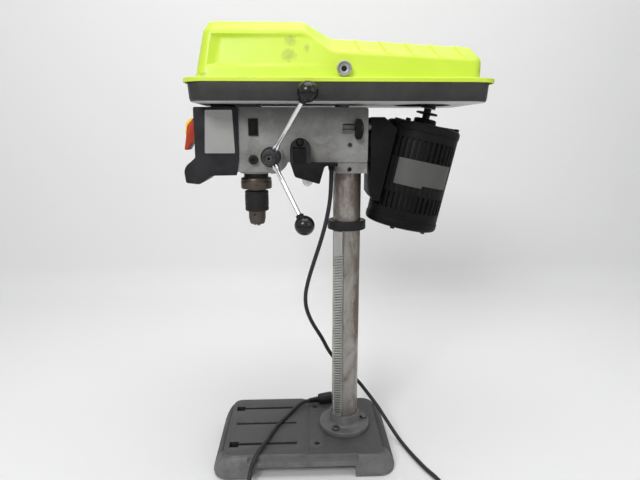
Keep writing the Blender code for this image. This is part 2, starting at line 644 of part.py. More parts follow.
def feed_rod(number, angle):
    turn = rod_turn(angle)
    shape = [(ROD_R, 0.0105), (ROD_R, 0.0165), (ROD_R + 0.0008, 0.0170), (ROD_R + 0.0008, 0.0215),
             (ROD_R, 0.0225), (ROD_R, ROD_REACH + 0.0080)]
    solid("feed_rod_%d" % number, *turned(shape, "X", 20), CHROME, at=rod_root(), turn=turn, smooth=True)
    centre = ROD_REACH + 0.0260
    ball = arc((centre, 0.0), KNOB_R, 151, 9, 9)
    neck = ROD_REACH + 0.0080 + GAP
    profile = [(0.0055, neck), (0.0062, neck + 0.0010)] + [(r, x) for x, r in ball]
    solid("feed_knob_%d" % number, *turned(profile, "X", 22), BLACK_GLOSS, at=rod_root(), turn=turn, smooth=True)


def spring_housing():
    """Return spring drum behind the head, with its lock nut."""
    x, z = PINION_AT
    y = HEAD_Y + GAP
    profile = [(PINION_R + 0.0006, y), (0.0260, y), (0.0270, y + 0.001), (0.0270, y + 0.0130),
               (0.0250, y + 0.0150), (PINION_R + 0.0006, y + 0.0150)]
    solid("spring_housing", *turned(profile, "Y", 32, ring=True, centre=(x, 0, z)), BLACK_STEEL)


def at_spindle(z=0.0):
    return (-SWING, 0.0, z)


def quill():
    bore, seat = 0.0110, BEARING_R + GAP
    profile = [(seat, QUILL_BOTTOM), (QUILL_R - 0.0008, QUILL_BOTTOM), (QUILL_R, QUILL_BOTTOM + 0.0008),
               (QUILL_R, QUILL_TOP - 0.001), (QUILL_R - 0.001, QUILL_TOP), (seat, QUILL_TOP),
               (seat, QUILL_TOP - 0.0090), (bore, QUILL_TOP - 0.0090), (bore, QUILL_BOTTOM + 0.0100),
               (seat, QUILL_BOTTOM + 0.0100)]
    tube_part = solid("quill_tube", *turned(profile, ring=True), STEEL, at=at_spindle())
    cut(tube_part, solid("quill_comb", *prism(comb_outline(), -0.0085, 0.0085), at=at_spindle()))
    low, high = QUILL_RING_Z
    ring = tube(QUILL_R + GAP, QUILL_RING_R, low, high, 0.0018)
    solid("quill_collar", *turned(ring, ring=True), RUSTY, at=at_spindle())
    for name, z in (("lower_bearing", QUILL_BOTTOM + 0.0008), ("upper_bearing", QUILL_TOP - 0.0087)):
        solid(name, *turned(tube(SPINDLE_R + GAP, BEARING_R, z, z + 0.0082, 0.0005), ring=True, segments=32),
              BEARING, at=at_spindle())


def comb_outline():
    """Flat with tooth gaps down the back of the quill, where the pinion runs."""
    tip = SWING + PINION_AT[0] - PINION_R - 0.0005
    outline = [(0.030, 0.5240), (0.030, 0.6000), (tip, 0.6000)]
    z = 0.5860
    while z > 0.5300:
        outline += [(tip, z), (tip - 0.0018, z - 0.0006), (tip - 0.0018, z - 0.0020), (tip, z - 0.0026)]
        z -= 0.00471
    return outline + [(tip, 0.5240)]


def spindle():
    taper = 0.4520
    profile = [(0.0068, taper), (0.0076, CHUCK_TOP + 0.0003), (SPINDLE_NECK_R, CHUCK_TOP + 0.0003),
               (SPINDLE_NECK_R, QUILL_BOTTOM + 0.0004), (SPINDLE_R, QUILL_BOTTOM + 0.0004),
               (SPINDLE_R, 0.6740), (SPINDLE_R - 0.0010, 0.6750)]
    solid("spindle", *turned(profile, segments=32), STEEL, at=at_spindle(), smooth=False)


def jaw_place(turn):
    """Foot of a jaw's centre line and its lean away from the spindle axis."""
    x, y, _ = around(JAW_TIP_R, turn)
    return (-SWING + x, y, JAW_TIP_Z), Euler((0, math.radians(JAW_TILT), math.radians(turn)))


def chuck():
    top, shelf = CHUCK_TOP, CHUCK_SLEEVE_BOTTOM - GAP
    profile = [(0.0062, CHUCK_BOTTOM), (0.0112, CHUCK_BOTTOM), (0.0122, CHUCK_BOTTOM + 0.0015),
               (CHUCK_NOSE_R, 0.4290), (CHUCK_NOSE_R, shelf), (CHUCK_NOSE_R + 0.0005, shelf + 0.0010),
               (0.0152, shelf + 0.0015), (0.0152, top - 0.0040), (0.0120, top), (0.0080, top),
               (0.0071, 0.4505), (0.0062, 0.4500)]
    body = solid("chuck_body", *turned(profile, ring=True), RUSTY, at=at_spindle())
    room = JAW_SIZE / 2 + GAP
    for k in range(3):
        foot, lean = jaw_place(120 * k + 60)
        cut(body, solid("jaw_slot", *box((-room, room), (-room, room), (-0.005, 0.0300)), at=foot, turn=lean))
    for k in range(3):
        hole = solid("key_hole", *turned(plain(0.0024, 0.0100, 0.0180), "X", 16), at=at_spindle(0.4355),
                     turn=(0, 0, math.radians(120 * k - 100)))
        cut(body, hole)
    half = JAW_SIZE / 2
    for k in range(3):
        foot, lean = jaw_place(120 * k + 60)
        solid("chuck_jaw_%d" % (k + 1), *box((-half, half), (-half, half), (0.0, JAW_LENGTH)), SCREW_STEEL,
              at=foot, turn=lean)
    sleeve = tube(0.0152 + RUN, CHUCK_SLEEVE_R, CHUCK_SLEEVE_BOTTOM, CHUCK_TOP - 0.0005, 0.0012)
    solid("chuck_sleeve", *turned(sleeve, ring=True), BLACK_STEEL, at=at_spindle())


def step_profile(bore, bottom, largest_on_top):
    """Cone of V grooves around a bore, from the bottom flange up."""
    rim = [(bore, bottom)]
    for k in range(STEP_COUNT):
        order = k - (STEP_COUNT - 1) / 2
        tip = STEP_MIDDLE_R + (order if largest_on_top else -order) * STEP_CHANGE
        z = bottom + k * STEP_HEIGHT
        root = tip - GROOVE_DEPTH
        half = STEP_HEIGHT / 2
        rim += [(tip, z + 0.0001), (tip, z + half - 0.0050), (root, z + half - 0.0028),
                (root, z + half + 0.0028), (tip, z + half + 0.0050), (tip, z + STEP_HEIGHT - 0.0001)]
    return rim + [(bore, bottom + STEP_COUNT * STEP_HEIGHT)]


def belt_plane():
    return SPINDLE_PULLEY_BOTTOM + STEP_COUNT * STEP_HEIGHT / 2


def motor_groove():
    """Distance up the motor shaft of the groove in use, below the belt's level run."""
    tilt = math.radians(MOTOR_TILT)
    drop = 0.5 * BELT_RISE_LENGTH * math.tan(tilt)
    return (belt_plane() - drop - MOTOR_TOP_AT[1]) / math.cos(tilt)


def pulleys(motor_frame):
    hub = [(SPINDLE_R + RUN, 0.5990), (0.0118, 0.5990), (0.0118, SPINDLE_PULLEY_BOTTOM - 0.0004)]
    profile = hub + step_profile(SPINDLE_R + RUN, SPINDLE_PULLEY_BOTTOM, False)[1:]
    solid("spindle_pulley", *turned(profile, ring=True, segments=20), ALUMINIUM, at=at_spindle())
    low = motor_groove() - STEP_COUNT * STEP_HEIGHT / 2
    hub = [(MOTOR_SHAFT_R + GAP, 0.0260), (0.0090, 0.0260), (0.0100, low - 0.0004)]
    profile = hub + step_profile(MOTOR_SHAFT_R + GAP, low, True)[1:]
    solid("motor_pulley", *turned(profile, ring=True, segments=20), ALUMINIUM, parent=motor_frame)


def v_belt():
    """Wedge section carried around both pulleys; the runs bend down into the tilted motor groove."""
    tilt = math.radians(MOTOR_TILT)
    height = motor_groove()
    end = Vector((MOTOR_TOP_AT[0] + height * math.sin(tilt), 0, MOTOR_TOP_AT[1] + height * math.cos(tilt)))
    start = Vector((-SWING, 0, belt_plane()))
    stations = []
    for k in range(19):
        a = math.radians(90 + 180 * k / 18)
        stations.append((start, Vector((math.cos(a), math.sin(a), 0)), Vector((0, 0, 1))))
    stations += belt_run(end, tilt, -1)
    for k in range(19):
        a = math.radians(-90 + 180 * k / 18)
        out = Vector((math.cos(a) * math.cos(tilt), math.sin(a), -math.cos(a) * math.sin(tilt)))
        stations.append((end, out, Vector((math.sin(tilt), 0, math.cos(tilt)))))
    stations += list(reversed(belt_run(end, tilt, 1)))
    rings = []
    for centre, out, up in stations:
        section = ((-0.0056, -0.0024), (-0.0003, -0.0044), (-0.0003, 0.0044), (-0.0056, 0.0024))
        rings.append([tuple(centre + out * (STEP_MIDDLE_R + r) + up * h) for r, h in section])
    solid("v_belt", *loft(rings, closed=True), RUBBER)


def belt_run(end, tilt, side):
    """Stations of one straight run, from just past the spindle pulley to just before the motor's."""
    out = Vector((0, side, 0))
    stations = []
    for x in (0.040 - SWING, -0.040, 0.030, end.x - BELT_RISE_LENGTH):
        stations.append((Vector((x, 0, belt_plane())), out, Vector((0, 0, 1))))
    for k in (1, 2, 3):
        s = k / 4
        lean = tilt * s
        drop = 0.5 * BELT_RISE_LENGTH * math.tan(tilt) * s * s
        stations.append((Vector((end.x - BELT_RISE_LENGTH * (1 - s), 0, belt_plane() - drop)), out,
                         Vector((math.sin(lean), 0, math.cos(lean)))))
    return stations


def pan_ring(inset, z, radius=0.030):
    return [(x, y, z) for x, y in rounded((TRAY_X[0] + inset * 0.5, TRAY_X[1] - inset * 0.4),
                                          (-TRAY_Y + inset, TRAY_Y - inset), radius - inset * 0.5, 6)]


def belt_tray():
    t, b, w = TRAY_TAPER, TRAY_BOTTOM, TRAY_WALL
    outer = [(t + 0.0050, b), (t + 0.0012, b + 0.0012), (t, b + 0.0045), (0.0, TRAY_RIM)]
    inner = [(t + w + 0.003, b + w), (t + w, b + w + 0.003), (w, TRAY_RIM), (w, TRAY_RIM + 0.010)]
    tray = solid("belt_tray", *loft([pan_ring(i, z) for i, z in outer]), TRAY_DARK)
    cut(tray, solid("tray_hollow", *loft([pan_ring(i, z) for i, z in inner])),
        solid("tray_spindle_hole", *turned(plain(0.0170, 0.60, 0.63), segments=32, centre=at_spindle())),
        solid("tray_motor_hole", *turned(plain(MOTOR_HOLE_R, 0.60, 0.63), centre=(MOTOR_HOLE_X, 0, 0))))
    for side in (-1, 1):
        cut(tray, solid("tray_screw_hole", *turned(plain(0.0031, 0.60, 0.63), segments=16,
                                                   centre=(-0.010, side * 0.030, 0))))
    return tray


def lid_sections(inset):
    """Cross sections of the lid along X: (x, half width at the foot, shoulder height, shoulder
    half width, top height, top half width)."""
    i = inset
    front = LID_X[0]
    rows = [(front + 0.0162 + i, 0.0800, 0.6445, 0.0790, 0.6450, 0.0780),
            (front + 0.0300 + i, 0.0860, 0.7080, 0.0760, 0.7085, 0.0740),
            (front + 0.0370 + i * 0.6, 0.0900, 0.7085, 0.0800, HUMP_TOP, 0.0660),
            (HUMP_END_X[0] - i * 0.2, 0.0900, 0.7085, 0.0800, HUMP_TOP, 0.0660),
            (HUMP_END_X[1] - i * 0.5, 0.0900, TAIL_SIDE[0] + 0.001, 0.0850, TAIL_TOP[0], 0.0480),
            (TAIL_END_X - 0.0060 - i, 0.0900, TAIL_SIDE[1], 0.0850, TAIL_TOP[1], 0.0480),
            (TAIL_END_X - i, 0.0860, TAIL_SIDE[1] - 0.0040, 0.0810, TAIL_SIDE[1] - 0.0030, 0.0500)]
    return [(x, foot - i, z1 - i * 0.6, w1 - i, z2 - i, w2 - i * 0.6) for x, foot, z1, w1, z2, w2 in rows]


def lid_body(inset, base):
    rings = []
    for x, foot, z1, w1, z2, w2 in lid_sections(inset):
        rings.append([(x, -foot, base), (x, foot, base), (x, w1, z1), (x, w2, z2), (x, -w2, z2), (x, -w1, z1)])
    return loft(rings)


def belt_lid():
    """Cover over the pulleys: a high front hump, a low louvred tail and a lip around the foot."""
    pivot = (0.0, HINGE_Y, HINGE_Z)
    back = (0.0, -HINGE_Y, -HINGE_Z)

    def shifted(shape):
        verts, faces = shape
        return [tuple(v[i] + back[i] for i in range(3)) for v in verts], faces

    low = TRAY_RIM + GAP
    lip = [[(x, y, z) for x, y in rounded((LID_X[0] + i, LID_X[1] - i), (-TRAY_Y - 0.001 + i, TRAY_Y + 0.001 - i),
                                          0.032 - i, 6)] for i, z in ((0.0004, low), (0.0, low + 0.001),
                                                                      (0.0008, low + LID_LIP - 0.0015),
                                                                      (0.0030, low + LID_LIP))]
    lid = solid("belt_lid", *shifted(lid_body(0.0, low + 0.0010)), LID_LIME, at=pivot)
    soften(lid, 0.0030)
    add(lid, solid("lid_lip", *shifted(loft(lip)), at=pivot))
    for number in range(5):
        add(lid, solid("lid_louvre", *shifted(louvre(number)), at=pivot))
    add(lid, *[solid("lid_rib", *shifted(rib), at=pivot) for rib in lid_ribs()])
    cut(lid, solid("lid_hollow", *shifted(lid_body(LID_WALL, low - 0.004)), at=pivot),
        solid("lid_floor", *shifted(box((LID_X[0] + 0.0200, LID_X[1] - 0.0220), (-0.0870, 0.0870),
                                          (low - 0.005, low + 0.0030))), at=pivot),
        solid("lid_cup_hole", *shifted(turned(plain(0.0042, -0.100, -0.080), "Y", 16,
                                              centre=(-0.015, 0, 0.6560))), at=pivot))
    lid_fittings(pivot, shifted)
    return lid


def louvre(number):
    """Pressed fold across the tail's bevel, standing proud at its front end."""
    x = 0.0010 + 0.0370 * number
    drop = (TAIL_TOP[0] - TAIL_TOP[1]) / (TAIL_END_X - HUMP_END_X[1])
    fall = drop * (x - HUMP_END_X[1])
    rings = []
    for side, rise in ((0.0, 0.0), (0.0, 0.0020), (0.0300, 0.0)):
        rings.append((x + side, rise))
    verts = []
    for px, rise in rings:
        for y, z, skew in ((-0.0820, TAIL_SIDE[0] + 0.0010, 0.0070), (-0.0520, TAIL_TOP[0] - 0.0022, 0.0)):
            verts.append((px + skew, y, z - fall - drop * (px - x) + rise + (0.0 if rise else -0.0012)))
    faces = [(0, 2, 3, 1), (2, 4, 5, 3), (0, 1, 5, 4), (0, 4, 2), (1, 3, 5)]
    return verts, faces


def lid_ribs():
    """Two long pressed ribs on the side of the hump, pointed at the front."""
    ribs = []
    for z, x0, x1, y in ((0.7010, LID_X[0] + 0.0430, -0.0930, -0.0800), (0.6620, LID_X[0] + 0.0360, -0.0600, -0.0862)):
        front = [(x0, y, z - 0.0010), (x0 + 0.012, y - 0.0018, z + 0.0030), (x1, y - 0.0008, z + 0.0020),
                 (x1, y - 0.0008, z - 0.0020), (x0 + 0.012, y - 0.0018, z - 0.0034)]
        inner = [(px, y + 0.0060, pz) for px, _, pz in front]
        ribs.append(loft([inner, front]))
    return ribs


def lid_fittings(pivot, shifted):
    """Grey cup on the side of the lid."""
    cup = [(0.0022, -0.0890), (0.0040, -0.0890), (0.0040, -0.0906), (0.0075, -0.0906), (0.0105, -0.0960),
           (0.0105, -0.0985), (0.0092, -0.0995), (0.0060, -0.0955), (0.0036, -0.0945), (0.0022, -0.0945)]
    solid("lid_cup", *shifted(turned(cup, "Y", 32, ring=True, centre=(-0.015, 0, 0.6560))), CUP_GREY, at=pivot,
          smooth=False)


def hinge():
    """Long barrel hinge along the far rim: its leaf lies on the tray and its pin carries the lid."""
    low, high = HINGE_X
    leaf = solid("hinge_leaf", *box(HINGE_X, (TRAY_Y + GAP, TRAY_Y + 0.0030), (0.6200, TRAY_RIM - 0.0002)),
                 BLACK_STEEL)
    add(leaf, solid("hinge_riser", *box((low + 0.001, high - 0.001), (TRAY_Y + 0.0020, HINGE_Y - 0.0008),
                                        (0.6290, HINGE_Z))),
        solid("hinge_barrel", *turned(rod(HINGE_R, low, high), "X", 16, centre=(0, HINGE_Y, HINGE_Z))))


def motor_to_world(x, z):
    tilt = math.radians(MOTOR_TILT)
    return (MOTOR_TOP_AT[0] + x * math.cos(tilt) + z * math.sin(tilt),
            MOTOR_TOP_AT[1] - x * math.sin(tilt) + z * math.cos(tilt))


def motor():
    frame = empty("motor_frame", (MOTOR_TOP_AT[0], 0, MOTOR_TOP_AT[1]), (0, math.radians(MOTOR_TILT), 0), HEAD_FRAME)
    r, bottom = MOTOR_R, -MOTOR_LENGTH
    shell = tube(r - 0.003, r - 0.0010, bottom + 0.0143, -0.0143, 0.0002)
    solid("motor_shell", *turned(shell, ring=True, segments=30), MOTOR_BLACK, parent=frame)
    seat = MOTOR_SHAFT_R + RUN
    upper = [(seat, 0.0095), (0.0165, 0.0095), (0.0180, 0.0080), (0.0185, 0.0005), (r - 0.0040, -0.0010),
             (r - 0.0012, -0.0030), (r, -0.0060), (r, -0.0140), (r - 0.0030, -0.0140), (r - 0.0030, -0.0060),
             (seat, -0.0050)]
    solid("motor_end_top", *turned(upper, ring=True, segments=30), MOTOR_BLACK, parent=frame)
    lower = [(0.0100, bottom), (r - 0.0060, bottom), (r - 0.0016, bottom + 0.0022), (r, bottom + 0.0060),
             (r, bottom + 0.0140), (r - 0.0030, bottom + 0.0140), (r - 0.0030, bottom + 0.0060),
             (0.0100, bottom + 0.0050)]
    solid("motor_end_bottom", *turned([(r, z) for r, z in lower], ring=False, segments=30), MOTOR_BLACK,
          parent=frame)
    shaft = [(0.0045, -0.1550), (MOTOR_SHAFT_R, -0.1540), (MOTOR_SHAFT_R, -0.1300), (0.0400, -0.1300),
             (0.0400, -0.0300), (MOTOR_SHAFT_R, -0.0300), (MOTOR_SHAFT_R, 0.0170), (0.0170, 0.0176),
             (0.0170, 0.0192), (MOTOR_SHAFT_R, 0.0198), (MOTOR_SHAFT_R, 0.0990), (0.0050, 0.1000)]
    solid("motor_shaft", *turned(shaft, segments=32), SCREW_STEEL, parent=frame)
    motor_label(frame)
    return frame


def motor_label(frame):
    """Bare plate bent around the drum, between two upright edges."""
    r = MOTOR_R - 0.0010 + GAP
    rings = []
    for k in range(13):
        a = math.radians(-128 + 92 * k / 12)
        c, s = math.cos(a), math.sin(a)
        rings.append([(q * c, q * s, z) for q, z in ((r, -0.0800), (r + 0.0005, -0.0800), (r + 0.0005, -0.0360),
                                                     (r, -0.0360))])
    solid("motor_label", *loft(rings), MOTOR_LABEL, parent=frame)


def motor_bracket(frame):
    """Mount that carries the drum from two bars sliding in the head; hollowed to hug the drum."""
    x, z0, z1 = HEAD_X[1] + 0.0055, 0.4560, 0.5915
    near = 0.0110 - MOTOR_R
    top, low = motor_to_world(near, -0.0165), motor_to_world(near - 0.0010, -0.1480)
    foot = motor_to_world(near - 0.0150, -0.1480)
    outline = [(x, z0), foot, low, top, (x + 0.020, z1), (x, z1)]
    bracket = solid("motor_bracket", *prism(outline, -0.0400, 0.0400), MOTOR_BLACK)
    soften(bracket, 0.0020)
    cut(bracket, solid("drum_room", *turned(plain(MOTOR_R + GAP, -0.200, 0.030), segments=30), parent=frame))
    for number, side in ((1, -1), (2, 1)):
        cut(bracket, solid("bracket_bar_hole", *turned(plain(BAR_R + GAP, 0.020, 0.0450), "X", 24,
                                                       centre=(0, side * BAR_Y, BAR_Z), start=0.08)))
        solid("slide_bar_%d" % number, *turned(rod(BAR_R, -0.0300, 0.0445), "X", 24,
                                               centre=(0, side * BAR_Y, BAR_Z)), STEEL)


def wing_screw():
    """Wing screw that locks the near slide bar."""
    y0 = -BAR_Y - BAR_R - GAP
    face = -HEAD_Y - 0.0008
    pivot = (0.012, 0.0, BAR_Z - 0.004)
    profile = [(0.0030, y0), (0.0030, face), (0.0062, face), (0.0055, face - 0.0060), (0.0040, face - 0.0090)]
    knob = solid("motor_lock_wing", *turned(profile, "Y", 24), BLACK_PLASTIC, at=pivot)
    wing = [(-0.0035, -0.0155), (0.0035, -0.0155), (0.0065, -0.0090), (0.0035, 0.0), (0.0065, 0.0090),
            (0.0035, 0.0155), (-0.0035, 0.0155), (-0.0065, 0.0090), (-0.0035, 0.0), (-0.0065, -0.0090)]
    add(knob, solid("wing_plate", *prism(wing, face - 0.0130, face - 0.0030), at=pivot))


def smooth_path(points, spacing):
    """Even stations along a Catmull-Rom curve through the points."""
    pts = [Vector(p) for p in points]
    pts = [2 * pts[0] - pts[1]] + pts + [2 * pts[-1] - pts[-2]]
    dense = []
    for i in range(1, len(pts) - 2):
        a, b, c, d = pts[i - 1:i + 3]
        for k in range(24):
            t = k / 24
            dense.append(0.5 * ((2 * b) + (c - a) * t + (2 * a - 5 * b + 4 * c - d) * t * t
                                + (3 * b - a - 3 * c + d) * t ** 3))
    dense.append(pts[-2])
    run = [0.0]
    for p, q in zip(dense, dense[1:]):
        run.append(run[-1] + (q - p).length)
    count = max(2, round(run[-1] / spacing))
    even = np.interp(np.linspace(0, run[-1], count + 1), run, range(len(dense)))
    path = [dense[int(v)].lerp(dense[min(int(v) + 1, len(dense) - 1)], v - int(v)) for v in even]
    for at in path:
        at.z = max(at.z, CORD_R + 0.0002)
    return path


CORD_HANG = (CORD_EXIT, (CORD_EXIT[0] - 0.0001, -0.0188, 0.4950), (CORD_EXIT[0] - 0.0004, -0.0190, 0.4831),
             (CORD_EXIT[0] - 0.0019, -0.0190, 0.4602),
             (-0.0351, -0.0180, 0.4268), (-0.0438, -0.0130, 0.3919), (-0.0545, -0.0080, 0.3560),
             (-0.0641, -0.0020, 0.3223), (-0.0701, 0.0040, 0.2913), (-0.0688, 0.0100, 0.2631),
             (-0.0588, 0.0170, 0.2336), (-0.0402, 0.0260, 0.1983), (-0.0241, 0.0340, 0.1643),
             (0.0030, 0.0460, 0.1260), (0.0311, 0.0520, 0.0958), (0.0469, 0.0500, 0.0752),
             (0.0615, 0.0430, 0.0575), (0.0735, 0.0310, 0.0430), (0.0860, 0.0170, 0.0265),
             (0.0985, 0.0020, 0.0110), (0.1080, -0.0170, 0.0042), (0.1191, -0.0500, 0.0038),
             (0.1337, -0.0868, 0.0038), (0.1470, -0.1130, 0.0038), (0.1525, -0.1420, 0.0038),
             (0.1380, -0.1690, 0.0038), (0.1050, -0.1850, 0.0038), (0.0600, -0.1910, 0.0038),
             (0.0100, -0.1935, 0.0038), (-0.0300, -0.1985, 0.0038), (-0.0540, -0.2065, 0.0038),
             (-0.0757, -0.2152, 0.0038))
COIL_AT = (-0.1060, -0.1790)
CORD_RETURN = ((-0.1486, -0.1545, 0.0170), (-0.1560, -0.1425, 0.0140), (-0.1620, -0.1290, 0.0115),
               (-0.1655, -0.1160, 0.0125), (-0.1652, -0.1065, 0.0190), (-0.1620, -0.1010, 0.0285),
               (-0.1570, -0.0955, 0.0400), (-0.1515, -0.0860, 0.0462), (-0.1455, -0.0740, 0.0478),
               (-0.1395, -0.0560, 0.0465), (-0.1258, -0.0149, 0.0441), (-0.1085, 0.0163, 0.0441),
               (-0.0985, 0.0340, 0.0442), (-0.0895, 0.0490, 0.0448), (-0.0800, 0.0600, 0.0462),
               (-0.0710, 0.0655, 0.0468), (-0.0640, 0.0670, 0.0468))


def stretched(points):
    """Route with its hanging run drawn out to the head's height; what lies on the base or floor stays."""
    floor_z = 0.0500
    lift = (CORD_EXIT[2] - floor_z + COLUMN_TOP - DATUM_TOP) / (CORD_EXIT[2] - floor_z)
    return [(x, y, z if z < floor_z else floor_z + (z - floor_z) * lift) for x, y, z in points]


def cord_length(name, points):
    curve = bpy.data.curves.new(name, "CURVE")
    curve.dimensions = "3D"
    curve.bevel_depth = CORD_R
    curve.bevel_resolution = 1
    curve.use_fill_caps = True
    line = curve.splines.new("POLY")
    path = smooth_path(stretched(points), CORD_R * 5.0)
    line.points.add(len(path) - 1)
    for point, at in zip(line.points, path):
        point.co = (*at, 1.0)
    curve.materials.append(CORD_BLACK)
    obj = bpy.data.objects.new(name, curve)
    bpy.context.collection.objects.link(obj)
    obj.parent = FRAME


def cord():
    cord_length("power_cord", CORD_HANG)
    cord_length("plug_cord", CORD_RETURN)
    ring = [(COIL_RADIUS + COIL_HALF[0] * math.cos(a), COIL_HALF[1] + GAP + COIL_HALF[1] * math.sin(a))
            for a in (2 * math.pi * k / 10 for k in range(10))]
    solid("cord_coil", *turned(ring, ring=True, segments=30), CORD_BLACK, at=(*COIL_AT, 0.0), smooth=True)
    plug()


def cord_gland():
    gland = [(0.0040, CORD_EXIT[2] + GAP), (0.0052, 0.5120), (0.0062, HEAD_BELLY - GAP)]
    solid("cord_gland", *turned(gland, segments=24, centre=(CORD_EXIT[0], CORD_EXIT[1], 0)), BLACK_PLASTIC,
          smooth=False)


def plug():
    """Moulded plug lying on the base behind the column, tapered towards the cord, with two blades."""
    a, b = smooth_path(CORD_RETURN, CORD_R * 5.0)[-2:]
    aim = b - a
    start = b + aim.normalized() * GAP
    aim.z = 0.0
    turn = aim.to_track_quat("X", "Z").to_euler()
    rings = []
    for x, half_y, half_z in ((0.0, 0.0042, 0.0042), (0.0195, 0.0056, 0.0050), (0.0215, 0.0112, 0.0076),
                              (0.0440, 0.0125, 0.0080), (0.0495, 0.0118, 0.0074)):
        rings.append([(x, y, z) for y, z in rounded((-half_y, half_y), (-half_z, half_z), min(half_y, half_z) * 0.8, 3)])
    body = solid("power_plug", *loft(rings), BLACK_PLASTIC, at=start, turn=turn)
    for side in (-1, 1):
        add(body, solid("plug_blade", *box((0.0480, 0.0665), sorted((side * 0.0055, side * 0.0070)),
                                           (-0.0032, 0.0032)), at=start, turn=turn))


for make in (base_casting, column_flange, flange_bolts, column_tube, column_rack, rack_collar, cord):
    make()
STANDING.append(HEAD_FRAME)
for make in (head_casting, head_screws, quill_lock, control_box, box_label, switch_paddle, rocker_switch, lamp,
             cord_gland, feed, spring_housing, quill, spindle, chuck, belt_tray, belt_lid, hinge, wing_screw,
             v_belt):
    make()
drum = motor()
motor_bracket(drum)
pulleys(drum)
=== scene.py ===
import math

import bmesh
import bpy
import numpy as np
from mathutils import Matrix, Vector


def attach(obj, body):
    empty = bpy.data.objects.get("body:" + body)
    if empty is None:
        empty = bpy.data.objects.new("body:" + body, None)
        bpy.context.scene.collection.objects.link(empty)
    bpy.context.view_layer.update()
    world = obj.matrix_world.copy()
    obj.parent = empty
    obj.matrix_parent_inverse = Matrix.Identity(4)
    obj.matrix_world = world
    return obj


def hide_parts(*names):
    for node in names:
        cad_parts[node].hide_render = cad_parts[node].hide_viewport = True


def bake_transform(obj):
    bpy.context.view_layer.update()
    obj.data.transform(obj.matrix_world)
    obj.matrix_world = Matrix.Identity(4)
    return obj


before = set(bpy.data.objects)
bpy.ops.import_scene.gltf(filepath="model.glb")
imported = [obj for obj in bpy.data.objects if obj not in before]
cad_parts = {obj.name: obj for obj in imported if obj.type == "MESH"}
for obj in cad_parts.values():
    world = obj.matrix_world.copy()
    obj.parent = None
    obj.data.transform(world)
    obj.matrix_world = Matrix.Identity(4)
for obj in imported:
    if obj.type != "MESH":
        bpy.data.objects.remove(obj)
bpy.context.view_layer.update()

print("frame loaded:", len(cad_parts), "nodes")

# Shapes are measured in metres from the foot of the column's axis, which stands here.
columnAt = np.array([0.028, 0.0125, 0.0])
clearance = 0.0003              # between two pieces that touch

camera = {
    "place": (-0.05022, -0.80176, 0.57114), "right": (0.99917, -0.04083, 0.0),
    "ahead": (0.0398, 0.9751, -0.2181), "lens": 27.56, "sensor": 36.0, "nearest": 0.02,
}


def addCamera():
    data = bpy.data.cameras.new("bench_view")
    data.lens, data.sensor_width = camera["lens"], camera["sensor"]
    data.clip_start = camera["nearest"]
    eye = bpy.data.objects.new("bench_view", data)
    bpy.context.scene.collection.objects.link(eye)
    ahead = Vector(camera["ahead"]).normalized()
    right = Vector(camera["right"]).normalized()
    up = right.cross(ahead).normalized()
    right = ahead.cross(up)
    turn = Matrix((right, up, -ahead)).transposed().to_4x4()
    eye.matrix_world = Matrix.Translation(camera["place"]) @ turn
    bpy.context.scene.camera = eye


addCamera()


class Surface:
    # Corner points, and faces as blocks of index rows; every block's faces have one size.
    def __init__(self, points, faces):
        self.points = np.asarray(points, float).reshape(-1, 3)
        self.faces = faces

    def __add__(self, other):
        shift = len(self.points)
        return Surface(np.vstack([self.points, other.points]), self.faces + [f + shift for f in other.faces])

    def moved(self, matrix):
        m = np.array(matrix, float)
        return Surface(self.points @ m[:3, :3].T + m[:3, 3], self.faces)

    def outward(self):
        # the sum of p0 . (p1 x p2) over all triangles is six times the volume, negative when inside out
        volume = 0.0
        for block in self.faces:
            p = self.points[block]
            fans = np.cross(p[:, 1:-1], p[:, 2:])
            volume += (p[:, :1] * fans).sum()
        if volume < 0:
            self.faces = [block[:, ::-1] for block in self.faces]
        return self


def gridSurface(points, ring=False, capped=True):
    # points[i, j] is station i along the shape and step j around it; four neighbours make a face
    rows, cols = points.shape[:2]
    i = np.arange(rows if ring else rows - 1)[:, None]
    j = np.arange(cols)[None, :]
    nextRow, nextCol = (i + 1) % rows, (j + 1) % cols
    faces = [np.stack([i * cols + j, i * cols + nextCol, nextRow * cols + nextCol, nextRow * cols + j],
                      -1).reshape(-1, 4)]
    if capped and not ring:
        faces += [np.arange(cols)[::-1][None], (rows - 1) * cols + np.arange(cols)[None]]
    made = Surface(points, faces)
    return made.outward() if capped or ring else made


axisSets = {"X": ((0, 1, 0), (0, 0, 1), (1, 0, 0)), "Y": ((1, 0, 0), (0, 0, 1), (0, 1, 0)),
            "Z": ((1, 0, 0), (0, 1, 0), (0, 0, 1))}


def across(u, v, along, axis):
    # u and v measured across the axis, along measured on it
    e = np.array(axisSets[axis], float)
    return u[..., None] * e[0] + v[..., None] * e[1] + along[..., None] * e[2]


def turned(profile, axis="Z", centre=(0, 0, 0), sides=96, ring=False, start=0.0, waves=None):
    # surface of revolution: (radius cos a, radius sin a, height); waves(a, radius, height) adds to the radius
    profile = np.asarray(profile, float)
    r, h = profile[:, 0][:, None], profile[:, 1][:, None]
    a = start + np.linspace(0, 2 * math.pi, sides, endpoint=False)[None, :]
    h = h + 0 * a
    r = r + 0 * a
    if waves:
        r = r + waves(a, r, h)
    return gridSurface(across(r * np.cos(a), r * np.sin(a), h, axis) + np.array(centre), ring=ring)


